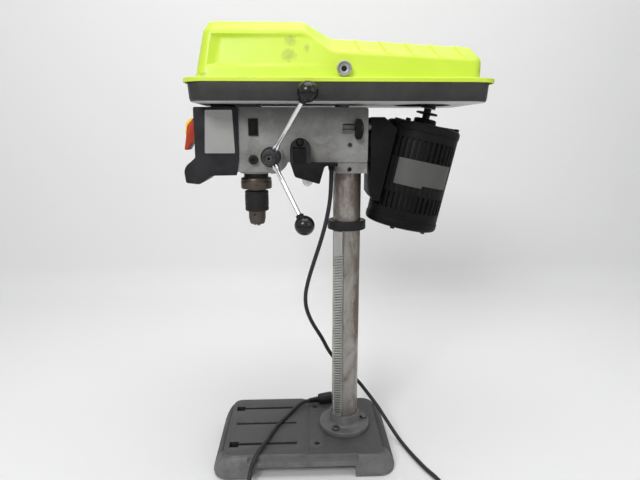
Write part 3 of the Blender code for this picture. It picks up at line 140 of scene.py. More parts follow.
def eased(outline, reach, closed=True, steps=4):
    # each corner becomes (1-t)^2 start + 2t(1-t) corner + t^2 end, start and end lying reach along its sides
    p = np.asarray(outline, float)
    count = len(p)
    before, after = np.roll(p, 1, 0) - p, np.roll(p, -1, 0) - p
    lengthBefore = np.linalg.norm(before, axis=1, keepdims=True)
    lengthAfter = np.linalg.norm(after, axis=1, keepdims=True)
    reach = np.array(np.broadcast_to(reach, count), float)[:, None]
    if not closed:
        reach[0] = reach[-1] = 0.0
    reach = np.minimum(reach, 0.45 * np.minimum(lengthBefore, lengthAfter))
    start = p + before / np.maximum(lengthBefore, 1e-9) * reach
    end = p + after / np.maximum(lengthAfter, 1e-9) * reach
    t = np.linspace(0, 1, steps + 1)[None, :, None]
    curve = (1 - t) ** 2 * start[:, None] + 2 * t * (1 - t) * p[:, None] + t ** 2 * end[:, None]
    curve = curve.reshape(-1, p.shape[1])
    gap = np.linalg.norm(curve - np.roll(curve, 1, 0), axis=1) > 1e-7
    if not closed:
        gap[0] = True
    return curve[gap]


def pushed(outline, low, high, axis="Y"):
    # flat outline carried straight along an axis from low to high
    outline = np.asarray(outline, float)
    h = np.array([low, high], float)[:, None] + 0 * outline[:, 0]
    return gridSurface(across(outline[:, 0] + 0 * h, outline[:, 1] + 0 * h, h, axis))


def block(x, y, z):
    return pushed([(x[0], y[0]), (x[1], y[0]), (x[1], y[1]), (x[0], y[1])], z[0], z[1], "Z")


def roundedRing(x, y, z, radius, steps=10):
    # rectangle with quarter circle corners: corner centre + radius (cos a, sin a)
    radius = min(radius, 0.499 * (x[1] - x[0]), 0.499 * (y[1] - y[0]))
    centre = np.array([(x[1], y[1]), (x[0], y[1]), (x[0], y[0]), (x[1], y[0])]) \
        + radius * np.array([(-1, -1), (1, -1), (1, 1), (-1, 1)])
    a = np.radians(np.arange(4)[:, None] * 90 + np.linspace(0, 90, steps + 1)[None, :])
    ring = centre[:, None, :] + radius * np.stack([np.cos(a), np.sin(a)], -1)
    ring = ring.reshape(-1, 2)
    return np.column_stack([ring, np.full(len(ring), z)])


def layered(rings):
    return gridSurface(np.stack(rings))


def tubeProfile(inside, outside, low, high, edge=0.0008):
    return eased([(inside, low), (outside, low), (outside, high), (inside, high)], edge)


def rodProfile(radius, low, high, edge=0.0008):
    core = min(0.0004, radius * 0.2)
    return eased([(core, low), (radius, low), (radius, high), (core, high)], edge, closed=False)


def rod(radius, low, high, axis="Z", centre=(0, 0, 0), sides=48, edge=0.0006):
    return turned(rodProfile(radius, low, high, edge), axis, centre, sides)


def bore(radius, low, high, axis="Z", centre=(0, 0, 0), sides=48):
    # cutter for a straight hole, with ends that lie beyond the piece
    return rod(radius, low, high, axis, centre, sides, 0.0001)


def hexHead(wide, low, high, centre=(0, 0, 0), start=0.0):
    # turned head whose radius follows a hexagon: flat / cos(angle from the middle of the flat)
    flat = wide / 2
    profile = eased([(0.0004, low), (flat, low), (flat, high), (flat * 0.86, high + flat * 0.12),
                     (0.0004, high + flat * 0.12)], 0.0005, closed=False)

    def flats(a, r, h):
        away = (a - start) % (math.pi / 3) - math.pi / 6
        full = flat / np.cos(away)
        return np.where(r > flat * 0.95, full - flat, 0.0)
    return turned(profile, "Z", centre, 48, start=start, waves=flats)


def toObject(name, surface):
    mesh = bpy.data.meshes.new(name)
    mesh.from_pydata((surface.points + columnAt).tolist(), [],
                     [f for blockOf in surface.faces for f in blockOf.tolist()])
    obj = bpy.data.objects.new(name, mesh)
    bpy.context.scene.collection.objects.link(obj)
    return obj


# points closer than this become one, after each step that makes a mesh
weldReach = {"cut": 1.5e-5, "bevel": 2e-6, "sheet": 1e-6}


def weld(mesh, reach, flatAngle=0.0):
    work = bmesh.new()
    work.from_mesh(mesh)
    bmesh.ops.remove_doubles(work, verts=work.verts, dist=reach)
    if flatAngle:
        bmesh.ops.dissolve_limit(work, angle_limit=math.radians(flatAngle), verts=work.verts,
                                 edges=work.edges)
    bmesh.ops.recalc_face_normals(work, faces=work.faces)
    work.to_mesh(mesh)
    work.free()


def settle(obj):
    # the modifiers' result becomes the mesh itself
    bpy.context.view_layer.update()
    graph = bpy.context.evaluated_depsgraph_get()
    mesh = bpy.data.meshes.new_from_object(obj.evaluated_get(graph))
    obj.modifiers.clear()
    obj.data = mesh


def combine(obj, tools, operation):
    spare = []
    for number, tool in enumerate(tools):
        other = toObject(f"{obj.name}_{operation.lower()}_{number}", tool)
        spare.append(other)
        step = obj.modifiers.new("shape", "BOOLEAN")
        step.operation, step.object, step.solver = operation, other, "EXACT"
    return spare


def dress(obj, finish, body, stands=None, sharp=38):
    # finish, shading that breaks at sharp degrees, body, and the CAD node it stands for
    obj.data.materials.clear()
    obj.data.materials.append(finishes[finish])
    obj.data.shade_smooth()
    obj.data.set_sharp_from_angle(angle=math.radians(sharp))
    if body:
        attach(obj, body)
    if stands:
        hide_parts(stands)
    return obj


bevelFrom = math.radians(32)        # only edges that turn more than this are rounded


def piece(name, shape, finish, body, stands=None, cuts=(), adds=(), bevel=0.0, segments=3,
          sharp=38):
    # one finished piece: shape, plus its adds, less its cuts, edges rounded
    obj = toObject(name, shape)
    if adds or cuts:
        spare = combine(obj, adds, "UNION") + combine(obj, cuts, "DIFFERENCE")
        settle(obj)
        weld(obj.data, weldReach["cut"], flatAngle=0.4)
        for other in spare:
            bpy.data.objects.remove(other)
    if bevel:
        step = obj.modifiers.new("edges", "BEVEL")
        step.width, step.segments = bevel, segments
        step.limit_method, step.angle_limit = "ANGLE", bevelFrom
        step.use_clamp_overlap = True
        settle(obj)
        weld(obj.data, weldReach["bevel"])
    return dress(obj, finish, body, stands, sharp)


class Value:
    # a node's socket as a number in a sum: every operator adds one Math node
    def __init__(self, paint, socket):
        self.paint, self.socket = paint, socket

    def __add__(self, other): return self.paint.sum("ADD", self, other)
    def __radd__(self, other): return self.paint.sum("ADD", other, self)
    def __sub__(self, other): return self.paint.sum("SUBTRACT", self, other)
    def __rsub__(self, other): return self.paint.sum("SUBTRACT", other, self)
    def __mul__(self, other): return self.paint.sum("MULTIPLY", self, other)
    def __rmul__(self, other): return self.paint.sum("MULTIPLY", other, self)
    def __truediv__(self, other): return self.paint.sum("DIVIDE", self, other)
    def __pow__(self, other): return self.paint.sum("POWER", self, other)


class Paint:
    # one material's node tree, written as expressions on Value
    def __init__(self, name, slot=None, rough=0.5, metal=0.0, coat=0.0, coatRough=0.1, specular=0.5):
        self.material = bpy.data.materials.new(name)
        self.material.use_nodes = True
        self.material["slot"] = slot or name
        self.tree = self.material.node_tree
        self.shader = self.tree.nodes["Principled BSDF"]
        for socket, amount in (("Roughness", rough), ("Metallic", metal), ("Coat Weight", coat),
                               ("Coat Roughness", coatRough), ("Specular IOR Level", specular)):
            self.shader.inputs[socket].default_value = amount
        self.place = self.node("ShaderNodeTexCoord", {}, out="Object")

    def node(self, kind, settings, out=0, **inputs):
        # inputs go by name, or by number as i0, i1 and so on
        made = self.tree.nodes.new(kind)
        for key, setting in settings.items():
            setattr(made, key, setting)
        for key, amount in inputs.items():
            self.feed(made.inputs[int(key[1:]) if key[1:].isdigit() else key], amount)
        return Value(self, made.outputs[out])

    def feed(self, socket, amount):
        if isinstance(amount, Value):
            self.tree.links.new(amount.socket, socket)
        elif isinstance(amount, tuple) and len(amount) == 3 and socket.type == "RGBA":
            socket.default_value = (*amount, 1.0)
        else:
            socket.default_value = amount

    def sum(self, operation, a, b):
        return self.node("ShaderNodeMath", {"operation": operation}, i0=a, i1=b)

    def noise(self, scale, detail=4.0, rough=0.55, warp=0.0, stretch=None):
        return self.node("ShaderNodeTexNoise", {}, Vector=self.stretched(stretch), Scale=scale, Detail=detail,
                         Roughness=rough, Distortion=warp)

    def cells(self, scale, random):
        return self.node("ShaderNodeTexVoronoi", {}, out="Distance", Vector=self.place, Scale=scale,
                         Randomness=random)

    def stretched(self, stretch):
        if stretch is None:
            return self.place
        return self.node("ShaderNodeMapping", {}, Vector=self.place, Scale=stretch)

    def axis(self, name):
        return self.node("ShaderNodeSeparateXYZ", {}, out=name, Vector=self.place)

    def step(self, amount, low, high):
        # 0 below low, 1 above high, smooth between
        return self.node("ShaderNodeMapRange", {"interpolation_type": "SMOOTHSTEP"}, Value=amount, i1=low,
                         i2=high, i3=0.0, i4=1.0)

    def mix(self, share, a, b):
        made = self.tree.nodes.new("ShaderNodeMix")
        made.data_type = "RGBA"
        self.feed(made.inputs[0], share)
        self.feed(made.inputs[6], a)
        self.feed(made.inputs[7], b)
        return Value(self, made.outputs[2])

    def facing(self, low=0.2, high=0.9):
        # 1 on faces that look up; limits below zero, high under low, give 1 on faces that look down
        normal = self.node("ShaderNodeNewGeometry", {}, out="Normal")
        return self.step(self.node("ShaderNodeSeparateXYZ", {}, out="Z", Vector=normal), low, high)

    def worn(self, low=0.52, high=0.6):
        # convex edges, where a finish wears through
        return self.step(self.node("ShaderNodeNewGeometry", {}, out="Pointiness"), low, high)

    def finish(self, colour, rough=None, bump=None, depth=0.0003, metal=None):
        self.feed(self.shader.inputs["Base Color"], colour)
        if rough is not None:
            self.feed(self.shader.inputs["Roughness"], rough)
        if metal is not None:
            self.feed(self.shader.inputs["Metallic"], metal)
        if bump is not None:
            normal = self.node("ShaderNodeBump", {}, Height=bump, Distance=depth)
            self.tree.links.new(normal.socket, self.shader.inputs["Normal"])
        return self.material


# Paint and metal

def shade(colour, share, lift=0.0):
    return tuple(share * c + lift for c in colour)


def castPaint(name, dark, pale, soil, rough, topShade, slotShade=0.0, slot=None):
    # sand cast skin under thin paint: fine pits, soft mottling, painted shade on faces that look up, bare
    # pale edges
    p = Paint(name, slot=slot)
    mottle = p.noise(38, 6, 0.62)
    blotch = p.noise(9, 3, 0.5)
    colour = p.mix(p.step(mottle, 0.35, 0.68), dark, pale)
    colour = p.mix(p.step(blotch, 0.52, 0.72) * 0.45, colour, soil)
    colour = p.mix(p.step(p.noise(260, 3, 0.7), 0.6, 0.74) * 0.35, colour, shade(dark, 0.55))
    colour = p.mix(p.worn(0.53, 0.62) * 0.35, colour, shade(pale, 1.5))
    # painted shade: faces that look up are darkened, standing for the shadow of the tray and head over the
    # base
    colour = p.mix(p.facing(0.6, 0.98) * topShade, colour, shade(dark, 0.36))
    # painted shade in the slots: near black below the upper face and well inside the skirt
    across, height = p.axis("Y") - columnAt[1], p.axis("Z")
    slotShadeMask = p.step(across ** 2.0, 0.0052, 0.0046) * p.step(height, 0.0383, 0.0374)
    colour = p.mix(slotShadeMask * slotShade, colour, (0.012, 0.011, 0.01))
    skin = p.noise(620, 5, 0.66) + 0.5 * p.noise(190, 3, 0.6)
    return p.finish(colour, rough=rough - 0.1 + 0.22 * mottle, bump=skin, depth=0.00022)


def scuffedCast():
    # the head's thin silver grey paint: rubbed pale in long smears, grimy in the corners and brown stained,
    # with painted shadow of the tray along its top
    p = Paint("cast_head_grey")
    mottle = p.noise(22, 7, 0.66, 0.6)
    smear = p.noise(14, 5, 0.6, 0.8, (1.0, 1.0, 2.6))
    grime = p.noise(34, 6, 0.7, 0.3)
    colour = p.mix(p.step(mottle, 0.34, 0.66), (0.2, 0.198, 0.191), (0.31, 0.307, 0.298))
    colour = p.mix(p.step(smear, 0.53, 0.66) * 0.55, colour, (0.375, 0.372, 0.36))
    colour = p.mix(p.step(grime, 0.6, 0.74) * 0.62, colour, (0.105, 0.098, 0.088))
    colour = p.mix(p.step(p.noise(11, 5, 0.62, 1.2), 0.62, 0.74) * 0.5, colour, (0.2, 0.135, 0.085))
    # painted shadow of the tray: a dark band along the top of the head
    trayShadow = p.step(p.axis("Z") + 0.016 * smear, 0.588, 0.612)
    colour = p.mix(trayShadow * 0.72, colour, (0.075, 0.07, 0.065))
    scratch = p.step(p.noise(70, 2, 0.5, 0.0, (14.0, 1.0, 1.0)), 0.7, 0.76)
    colour = p.mix(scratch * 0.3, colour, (0.6, 0.595, 0.58))
    skin = p.noise(700, 5, 0.66) + 0.4 * p.noise(150, 4, 0.6)
    return p.finish(colour, rough=0.36 + 0.26 * grime, bump=skin, depth=0.0002)


def groundSteel(name, base, streakScale, rust, rustFrom, rustTo, rough=0.3, slot=None):
    # turned bar: fine rings or draw lines, brown bloom in patches, cloudy grease
    p = Paint(name, slot=slot)
    streak = p.noise(60, 6, 0.7, 0.0, streakScale)
    cloud = p.noise(30, 6, 0.68, 0.7)
    colour = p.mix(p.step(streak, 0.3, 0.7), shade(base, 0.8), base)
    colour = p.mix(p.step(p.noise(13, 6, 0.65, 0.5), 0.46, 0.66) * 0.42, colour, shade(base, 0.6))
    bloom = p.step(cloud, rustFrom, rustTo)
    colour = p.mix(bloom, colour, rust)
    colour = p.mix(p.step(p.noise(210, 3, 0.7), 0.62, 0.72) * 0.6, colour, shade(rust, 0.55))
    return p.finish(colour, rough=rough + 0.1 * streak + 0.42 * bloom, metal=0.92 - 0.75 * bloom,
                    bump=streak * 0.5 + bloom * p.noise(500, 3, 0.7), depth=0.00008)


def columnSteel():
    # bright column: drawn lines up the bar, rust brown towards the top and along the right, grease film
    p = Paint("column_steel")
    height, side = p.axis("Z"), p.axis("X") - columnAt[0]
    lines = p.noise(120, 4, 0.65, 0.0, (1.0, 1.0, 0.05))
    cloud = p.noise(24, 7, 0.7, 0.9, (1.0, 1.0, 0.42))
    fine = p.noise(110, 5, 0.7, 0.4, (1.0, 1.0, 0.5))
    colour = p.mix(lines, (0.275, 0.266, 0.25), (0.4, 0.388, 0.365))
    colour = p.mix(p.step(cloud, 0.4, 0.62) * 0.4, colour, (0.165, 0.142, 0.118))
    upper = p.step(height, 0.38, 0.47) * 0.15
    right = p.step(side, 0.004, 0.02) * (0.05 + 0.11 * p.step(height, 0.19, 0.23))
    low = p.step(height, 0.15, 0.06) * 0.05
    patchy = cloud * 0.6 + fine * 0.4 + upper + right + low
    rust = p.step(patchy, 0.49, 0.7)
    colour = p.mix(rust * 0.8, colour, (0.128, 0.083, 0.06))
    colour = p.mix(p.step(fine, 0.6, 0.72) * 0.5, colour, (0.075, 0.056, 0.042))
    return p.finish(colour, rough=0.26 + 0.14 * lines + 0.34 * rust, metal=0.92 - 0.62 * rust,
                    bump=lines * 0.35 + rust * fine, depth=0.00007)


def blackMetal(name, base=(0.012, 0.012, 0.0125), rough=0.48, metal=0.25, bare=(0.13, 0.125, 0.12)):
    # blacked steel: faint mottling, bare bright edges, dust on what looks up
    p = Paint(name, metal=metal, specular=0.2)
    mottle = p.noise(160, 5, 0.6)
    colour = p.mix(mottle, base, shade(base, 2.1))
    colour = p.mix(p.worn() * 0.45, colour, bare)
    colour = p.mix(p.facing() * p.step(p.noise(55, 4), 0.4, 0.7) * 0.3, colour, shade(bare, 0.6))
    return p.finish(colour, rough=rough - 0.1 + 0.25 * mottle, bump=p.noise(900, 3, 0.6), depth=0.00004)


def mouldedPlastic(name, base, rough=0.46, grain=0.00005, dust=0.35, slot=None):
    # spark textured moulding: fine pebble, greasy rubs, dust on upper faces
    p = Paint(name, slot=slot, specular=0.14)
    dustColour = (0.11, 0.105, 0.095)
    rub = p.noise(26, 5, 0.6, 0.5)
    colour = p.mix(p.step(rub, 0.38, 0.66), base, shade(base, 1.45, 0.004))
    colour = p.mix(p.facing(0.35, 0.95) * p.step(p.noise(70, 5), 0.36, 0.62) * dust, colour, dustColour)
    colour = p.mix(p.step(p.noise(420, 2, 0.6), 0.64, 0.74) * 0.25, colour, dustColour)
    pebble = p.cells(1500, random=0.9) + 0.6 * p.noise(900, 3)
    return p.finish(colour, rough=rough - 0.08 + 0.2 * rub, bump=pebble, depth=grain)


def limeEnamel():
    # lime powder coat, slight orange peel, black rubber scuffs and dusty finger marks
    p = Paint("lid_lime", coat=0.12, coatRough=0.2, specular=0.36)
    soft = p.noise(7, 4, 0.5)
    colour = p.mix(p.step(soft, 0.35, 0.65), (0.64, 0.84, 0.06), (0.69, 0.88, 0.082))
    x, z = p.axis("X") - columnAt[0], p.axis("Z")
    x = x + (p.noise(95, 4, 0.6) - 0.5) * 0.016
    z = z + (p.noise(120, 4, 0.6, 0.7) - 0.5) * 0.014
    smudge = p.step(p.noise(230, 5, 0.75), 0.3, 0.62)
    for cx, cz, wide, tall, share in scuffs:
        away = ((x - cx) / wide) ** 2.0 + ((z - cz) / tall) ** 2.0
        spot = p.step(away, 2.2, 0.0) * (0.35 + 0.65 * smudge)
        colour = p.mix(spot * share, colour, (0.27, 0.33, 0.09))
    grime = p.noise(26, 6, 0.68, 0.8)
    colour = p.mix(p.step(grime, 0.6, 0.76) * 0.22, colour, (0.3, 0.36, 0.05))
    nick = p.step(p.noise(240, 2, 0.6), 0.71, 0.75)
    colour = p.mix(nick * 0.12, colour, (0.16, 0.18, 0.05))
    peel = p.noise(330, 3, 0.5)
    return p.finish(colour, rough=0.3 + 0.16 * grime, bump=peel, depth=0.00006)


# dark rubs on the cover: centre x and z, half width and half height, share of black
scuffs = ((-0.089, 0.695, 0.0072, 0.0066, 0.5), (-0.0925, 0.675, 0.0085, 0.007, 0.5),
          (-0.0675, 0.685, 0.0034, 0.0048, 0.42), (0.186, 0.656, 0.006, 0.005, 0.5),
          (-0.212, 0.648, 0.006, 0.003, 0.5), (-0.15, 0.644, 0.012, 0.0022, 0.4))


def trayEnamel():
    # dark grey stove enamel, dusty and rubbed paler along the upright side
    p = Paint("tray_dark", specular=0.3)
    cloud = p.noise(12, 6, 0.62, 0.6)
    colour = p.mix(p.step(cloud, 0.36, 0.68), (0.028, 0.027, 0.0265), (0.047, 0.045, 0.043))
    colour = p.mix(p.step(p.noise(34, 6, 0.7, 0.5, (1.0, 1.0, 2.0)), 0.56, 0.74) * 0.35, colour,
                   (0.095, 0.088, 0.08))
    colour = p.mix(p.step(p.noise(300, 2, 0.6), 0.68, 0.76) * 0.16, colour, (0.16, 0.155, 0.15))
    # pale grey on faces that look down
    colour = p.mix(p.facing(-0.8, -0.97), colour, (0.56, 0.56, 0.57))
    return p.finish(colour, rough=0.34 + 0.25 * cloud, bump=p.noise(420, 4, 0.55), depth=0.00006)


def motorEnamel():
    # black enamel over steel and cast ends: satin, grey with workshop dust, stained in runs
    p = Paint("motor_black", specular=0.1)
    cloud = p.noise(17, 6, 0.64, 0.5)
    colour = p.mix(p.step(cloud, 0.34, 0.68), (0.0042, 0.004, 0.004), (0.01, 0.0095, 0.0091))
    colour = p.mix(p.facing(0.3, 0.95) * p.step(p.noise(60, 5), 0.34, 0.62) * 0.4, colour,
                   (0.085, 0.078, 0.066))
    runs = p.noise(40, 5, 0.66, 0.4, (1.0, 1.0, 0.3))
    colour = p.mix(p.step(runs, 0.58, 0.74) * 0.16, colour, (0.058, 0.05, 0.043))
    colour = p.mix(p.worn(0.53, 0.6) * 0.18, colour, (0.075, 0.072, 0.07))
    return p.finish(colour, rough=0.4 + 0.26 * cloud, bump=p.noise(520, 4, 0.6), depth=0.00009)


def barePlate(name, base):
    # plain sticker face: one neutral colour, faintly yellowed and rubbed
    p = Paint(name)
    rub = p.noise(60, 5, 0.6, 0.4)
    colour = p.mix(p.step(rub, 0.4, 0.72) * 0.4, base, shade(base, 0.86))
    return p.finish(colour, rough=0.36 + 0.16 * rub, bump=p.noise(260, 3), depth=0.00003)


def gloss(name, base):
    # glossy moulding: swirl marks and a little dust
    p = Paint(name, coat=0.12, coatRough=0.06, specular=0.3)
    rub = p.noise(90, 5, 0.62, 0.5)
    colour = p.mix(p.step(rub, 0.45, 0.72) * 0.5, base, shade(base, 1.7, 0.004))
    colour = p.mix(p.facing(0.5, 0.98) * p.step(p.noise(240, 4), 0.5, 0.7) * 0.25, colour, (0.25, 0.24, 0.22))
    return p.finish(colour, rough=0.1 + 0.16 * rub, bump=p.noise(500, 3), depth=0.00002)


def chromePlate():
    # bright plate with hairline rubs and a few freckles
    p = Paint("feed_rod_chrome", metal=1.0)
    hair = p.noise(300, 3, 0.6)
    freckle = p.step(p.noise(330, 3, 0.7), 0.66, 0.73)
    colour = p.mix(hair, (0.7, 0.7, 0.71), (0.84, 0.84, 0.85))
    colour = p.mix(freckle * 0.6, colour, (0.25, 0.2, 0.16))
    return p.finish(colour, rough=0.07 + 0.1 * hair + 0.3 * freckle, bump=hair, depth=0.00001)


def rustBloom(name, bare, brown, share):
    # machined steel gone brown: bare turned steel shows in patches
    p = Paint(name)
    cloud = p.noise(95, 6, 0.66, 0.6)
    turnings = p.noise(900, 3, 0.6, 0.0, (0.12, 0.12, 1.0))
    rust = p.step(cloud, 0.62 - share, 0.8 - share)
    colour = p.mix(turnings, shade(bare, 0.75), bare)
    colour = p.mix(rust, colour, p.mix(p.noise(300, 4, 0.7), brown, shade(brown, 1.75)))
    colour = p.mix(p.step(p.noise(170, 3, 0.6), 0.6, 0.7) * 0.6, colour, (0.03, 0.026, 0.022))
    return p.finish(colour, rough=0.36 + 0.36 * rust, metal=0.85 - 0.65 * rust,
                    bump=rust * p.noise(700, 4, 0.7) + 0.3 * turnings, depth=0.0001)


def rubberJacket(name, base):
    # extruded jacket: drawn lines, scuffs and pale dust
    p = Paint(name, specular=0.25)
    rub = p.noise(45, 5, 0.66, 0.4)
    colour = p.mix(rub, base, shade(base, 1.9))
    colour = p.mix(p.step(p.noise(130, 5, 0.7), 0.58, 0.74) * 0.3, colour, (0.145, 0.135, 0.12))
    return p.finish(colour, rough=0.4 + 0.22 * rub, bump=p.noise(800, 3), depth=0.00004)


def clearGlass():
    # thin bulb glass: mostly see-through, a veil of dust
    p = Paint("lamp_bulb", specular=0.6)
    dust = p.noise(120, 4, 0.6)
    p.feed(p.shader.inputs["Alpha"], 0.4 + 0.25 * p.step(dust, 0.45, 0.7))
    return p.finish(p.mix(dust, (0.8, 0.8, 0.78), (0.62, 0.61, 0.58)), rough=0.1 + 0.2 * dust)


finishes = {
    # castBase's last numbers: roughness, share of painted shade on faces that look up, share of painted shade
    # in the slots; castFoot has little painted shade on top
    "castBase": castPaint("cast_base_grey", (0.118, 0.118, 0.119), (0.184, 0.184, 0.186),
                          (0.094, 0.087, 0.079), 0.58, 0.8, 0.9),
    "castFoot": castPaint("cast_foot_grey", (0.108, 0.108, 0.109), (0.164, 0.164, 0.166),
                          (0.084, 0.077, 0.07), 0.58, 0.12, slot="cast_base_grey"),
    "castHead": scuffedCast(),
    "column": columnSteel(),
    "ground": groundSteel("ground_steel", (0.38, 0.37, 0.35), (0.1, 0.1, 1.0), (0.165, 0.1, 0.062), 0.56,
                          0.72, slot="column_steel"),
    "rack": groundSteel("rack_steel", (0.5, 0.5, 0.48), (1.0, 1.0, 0.3), (0.22, 0.165, 0.12), 0.6, 0.78,
                        0.34),
    "blackSteel": blackMetal("black_steel"),
    "screw": groundSteel("screw_steel", (0.135, 0.135, 0.138), (0.5, 0.5, 0.5), (0.11, 0.075, 0.05), 0.52,
                         0.7, 0.38),
    "chrome": chromePlate(),
    "knob": gloss("black_knob", (0.0045, 0.0045, 0.005)),
    "rocker": mouldedPlastic("rocker_black", (0.0035, 0.0035, 0.004), 0.3, slot="black_knob"),
    "plastic": mouldedPlastic("black_plastic", (0.019, 0.0185, 0.021)),
    "plugBlack": mouldedPlastic("plug_black", (0.008, 0.008, 0.0085), 0.42, dust=0.12, slot="black_plastic"),
    # the lamp plastic painted lighter on the housing, as painted highlight on its rim; the hood keeps the
    # plain tone
    "lampBodyLit": mouldedPlastic("lamp_body_black", (0.024, 0.024, 0.0245), 0.4, dust=0.2, slot="lamp_plastic"),
    "lampPlastic": mouldedPlastic("lamp_plastic", (0.0065, 0.0065, 0.007), 0.4, dust=0.15),
    "paleLabel": barePlate("pale_label", (0.385, 0.38, 0.372)),
    "motorLabel": barePlate("motor_label", (0.082, 0.08, 0.077)),
    "red": mouldedPlastic("switch_red", (0.46, 0.055, 0.026), 0.38, 0.00003, 0.1),
    "yellow": mouldedPlastic("switch_yellow", (0.92, 0.74, 0.1), 0.38, 0.00003, 0.1),
    "bulb": clearGlass(),
    "tray": trayEnamel(),
    "lime": limeEnamel(),
    "cup": blackMetal("lid_cup_grey", (0.26, 0.26, 0.27), 0.36, 0.3, (0.62, 0.62, 0.62)),
    "rusty": rustBloom("rusty_steel", (0.104, 0.09, 0.077), (0.056, 0.037, 0.027), 0.17),
    "bearing": groundSteel("bearing_steel", (0.55, 0.55, 0.56), (0.1, 0.1, 1.0), (0.2, 0.14, 0.09), 0.7,
                           0.85),
    "aluminium": groundSteel("pulley_aluminium", (0.66, 0.66, 0.67), (0.1, 0.1, 1.0), (0.3, 0.29, 0.28), 0.62,
                             0.8),
    "hub": blackMetal("hub_black", (0.026, 0.026, 0.027), 0.42, 0.4, (0.2, 0.195, 0.19)),
    # near black painted shade: the dark inside seen through the motor vents and in the latch cup's hole
    "shadeBlack": rubberJacket("winding_shade", (0.0022, 0.0022, 0.0022)),
    "belt": rubberJacket("belt_rubber", (0.016, 0.016, 0.016)),
    "motor": motorEnamel(),
    "cord": rubberJacket("cord_black", (0.02, 0.02, 0.022)),
}
print("finishes made:", len(finishes))


# Floor, backdrop and light

studio = {"floorWide": 12.0, "floorFrom": -6.0, "wallAt": 0.93, "bend": 0.1, "tall": 3.0, "pale": 0.885,
          "below": 0.0002}


def sweepFloor():
    # flat floor that turns up into a wall: a line along Y, a quarter circle, then a line up
    s = studio
    a = np.radians(np.linspace(0, 90, 13))
    flatTo = s["wallAt"] - s["bend"]
    y = np.concatenate([[s["floorFrom"], flatTo], flatTo + s["bend"] * np.sin(a[1:]), [s["wallAt"]]])
    z = np.concatenate([[0.0, 0.0], s["bend"] * (1 - np.cos(a[1:])), [s["tall"]]]) - s["below"]
    x = np.array([-0.5, 0.5]) * s["floorWide"]
    points = np.stack([np.broadcast_to(x[:, None], (2, len(y))), np.broadcast_to(y, (2, len(y))),
                       np.broadcast_to(z, (2, len(y)))], -1)
    i = np.arange(len(y) - 1)
    faces = np.stack([i, i + 1, len(y) + i + 1, len(y) + i], -1)[:, ::-1]
    floor = toObject("studio_floor", Surface(points - columnAt, [faces]))
    floor.data.shade_smooth()
    p = Paint("studio_pale", rough=0.7)
    low = s["pale"]
    high = low * 1.02
    colour = p.mix(p.noise(1.3, 3, 0.5), (low, low, low * 1.003), (high, high, low * 1.015))
    floor.data.materials.append(p.finish(colour))


# place, aim, size and watts
lights = {"soft_top": ((0.08, -0.25, 2.3), (0.0, 0.0, 0.2), (1.8, 1.4), 26),
          "front_left": ((-0.95, -1.9, 1.8), (0.0, 0.0, 0.45), (0.9, 0.7), 28.5),
          "front_right": ((1.5, -1.2, 1.1), (0.05, 0.0, 0.4), (0.9, 1.2), 4)}


def areaLight(name, place, aim, size, power):
    data = bpy.data.lights.new(name, "AREA")
    data.shape, data.size, data.size_y = "RECTANGLE", size[0], size[1]
    data.energy = power
    lamp = bpy.data.objects.new(name, data)
    bpy.context.scene.collection.objects.link(lamp)
    turn = (Vector(aim) - Vector(place)).to_track_quat("-Z", "Y")
    lamp.matrix_world = Matrix.Translation(place) @ turn.to_matrix().to_4x4()


def skyLight(strength, seenStrength):
    # even light, brighter where the sky itself is seen or mirrored
    world = bpy.data.worlds.new("soft_room")
    bpy.context.scene.world = world
    world.use_nodes = True
    nodes, links = world.node_tree.nodes, world.node_tree.links
    background = nodes["Background"]
    background.inputs["Color"].default_value = (0.97, 0.985, 1.0, 1.0)
    path = nodes.new("ShaderNodeLightPath")
    seen, either = nodes.new("ShaderNodeMath"), nodes.new("ShaderNodeMath")
    seen.operation = either.operation = "MAXIMUM"
    links.new(path.outputs["Is Glossy Ray"], either.inputs[0])
    links.new(path.outputs["Is Transmission Ray"], either.inputs[1])
    links.new(path.outputs["Is Camera Ray"], seen.inputs[0])
    links.new(either.outputs[0], seen.inputs[1])
    level = nodes.new("ShaderNodeMapRange")
    level.inputs[3].default_value, level.inputs[4].default_value = strength, seenStrength
    links.new(seen.outputs[0], level.inputs[0])
    links.new(level.outputs[0], background.inputs["Strength"])


sweepFloor()
for name, setting in lights.items():
    areaLight(name, *setting)
skyLight(0.12, 0.92)
bpy.context.scene.view_settings.view_transform = "Standard"
print("studio ready")


# Power cord

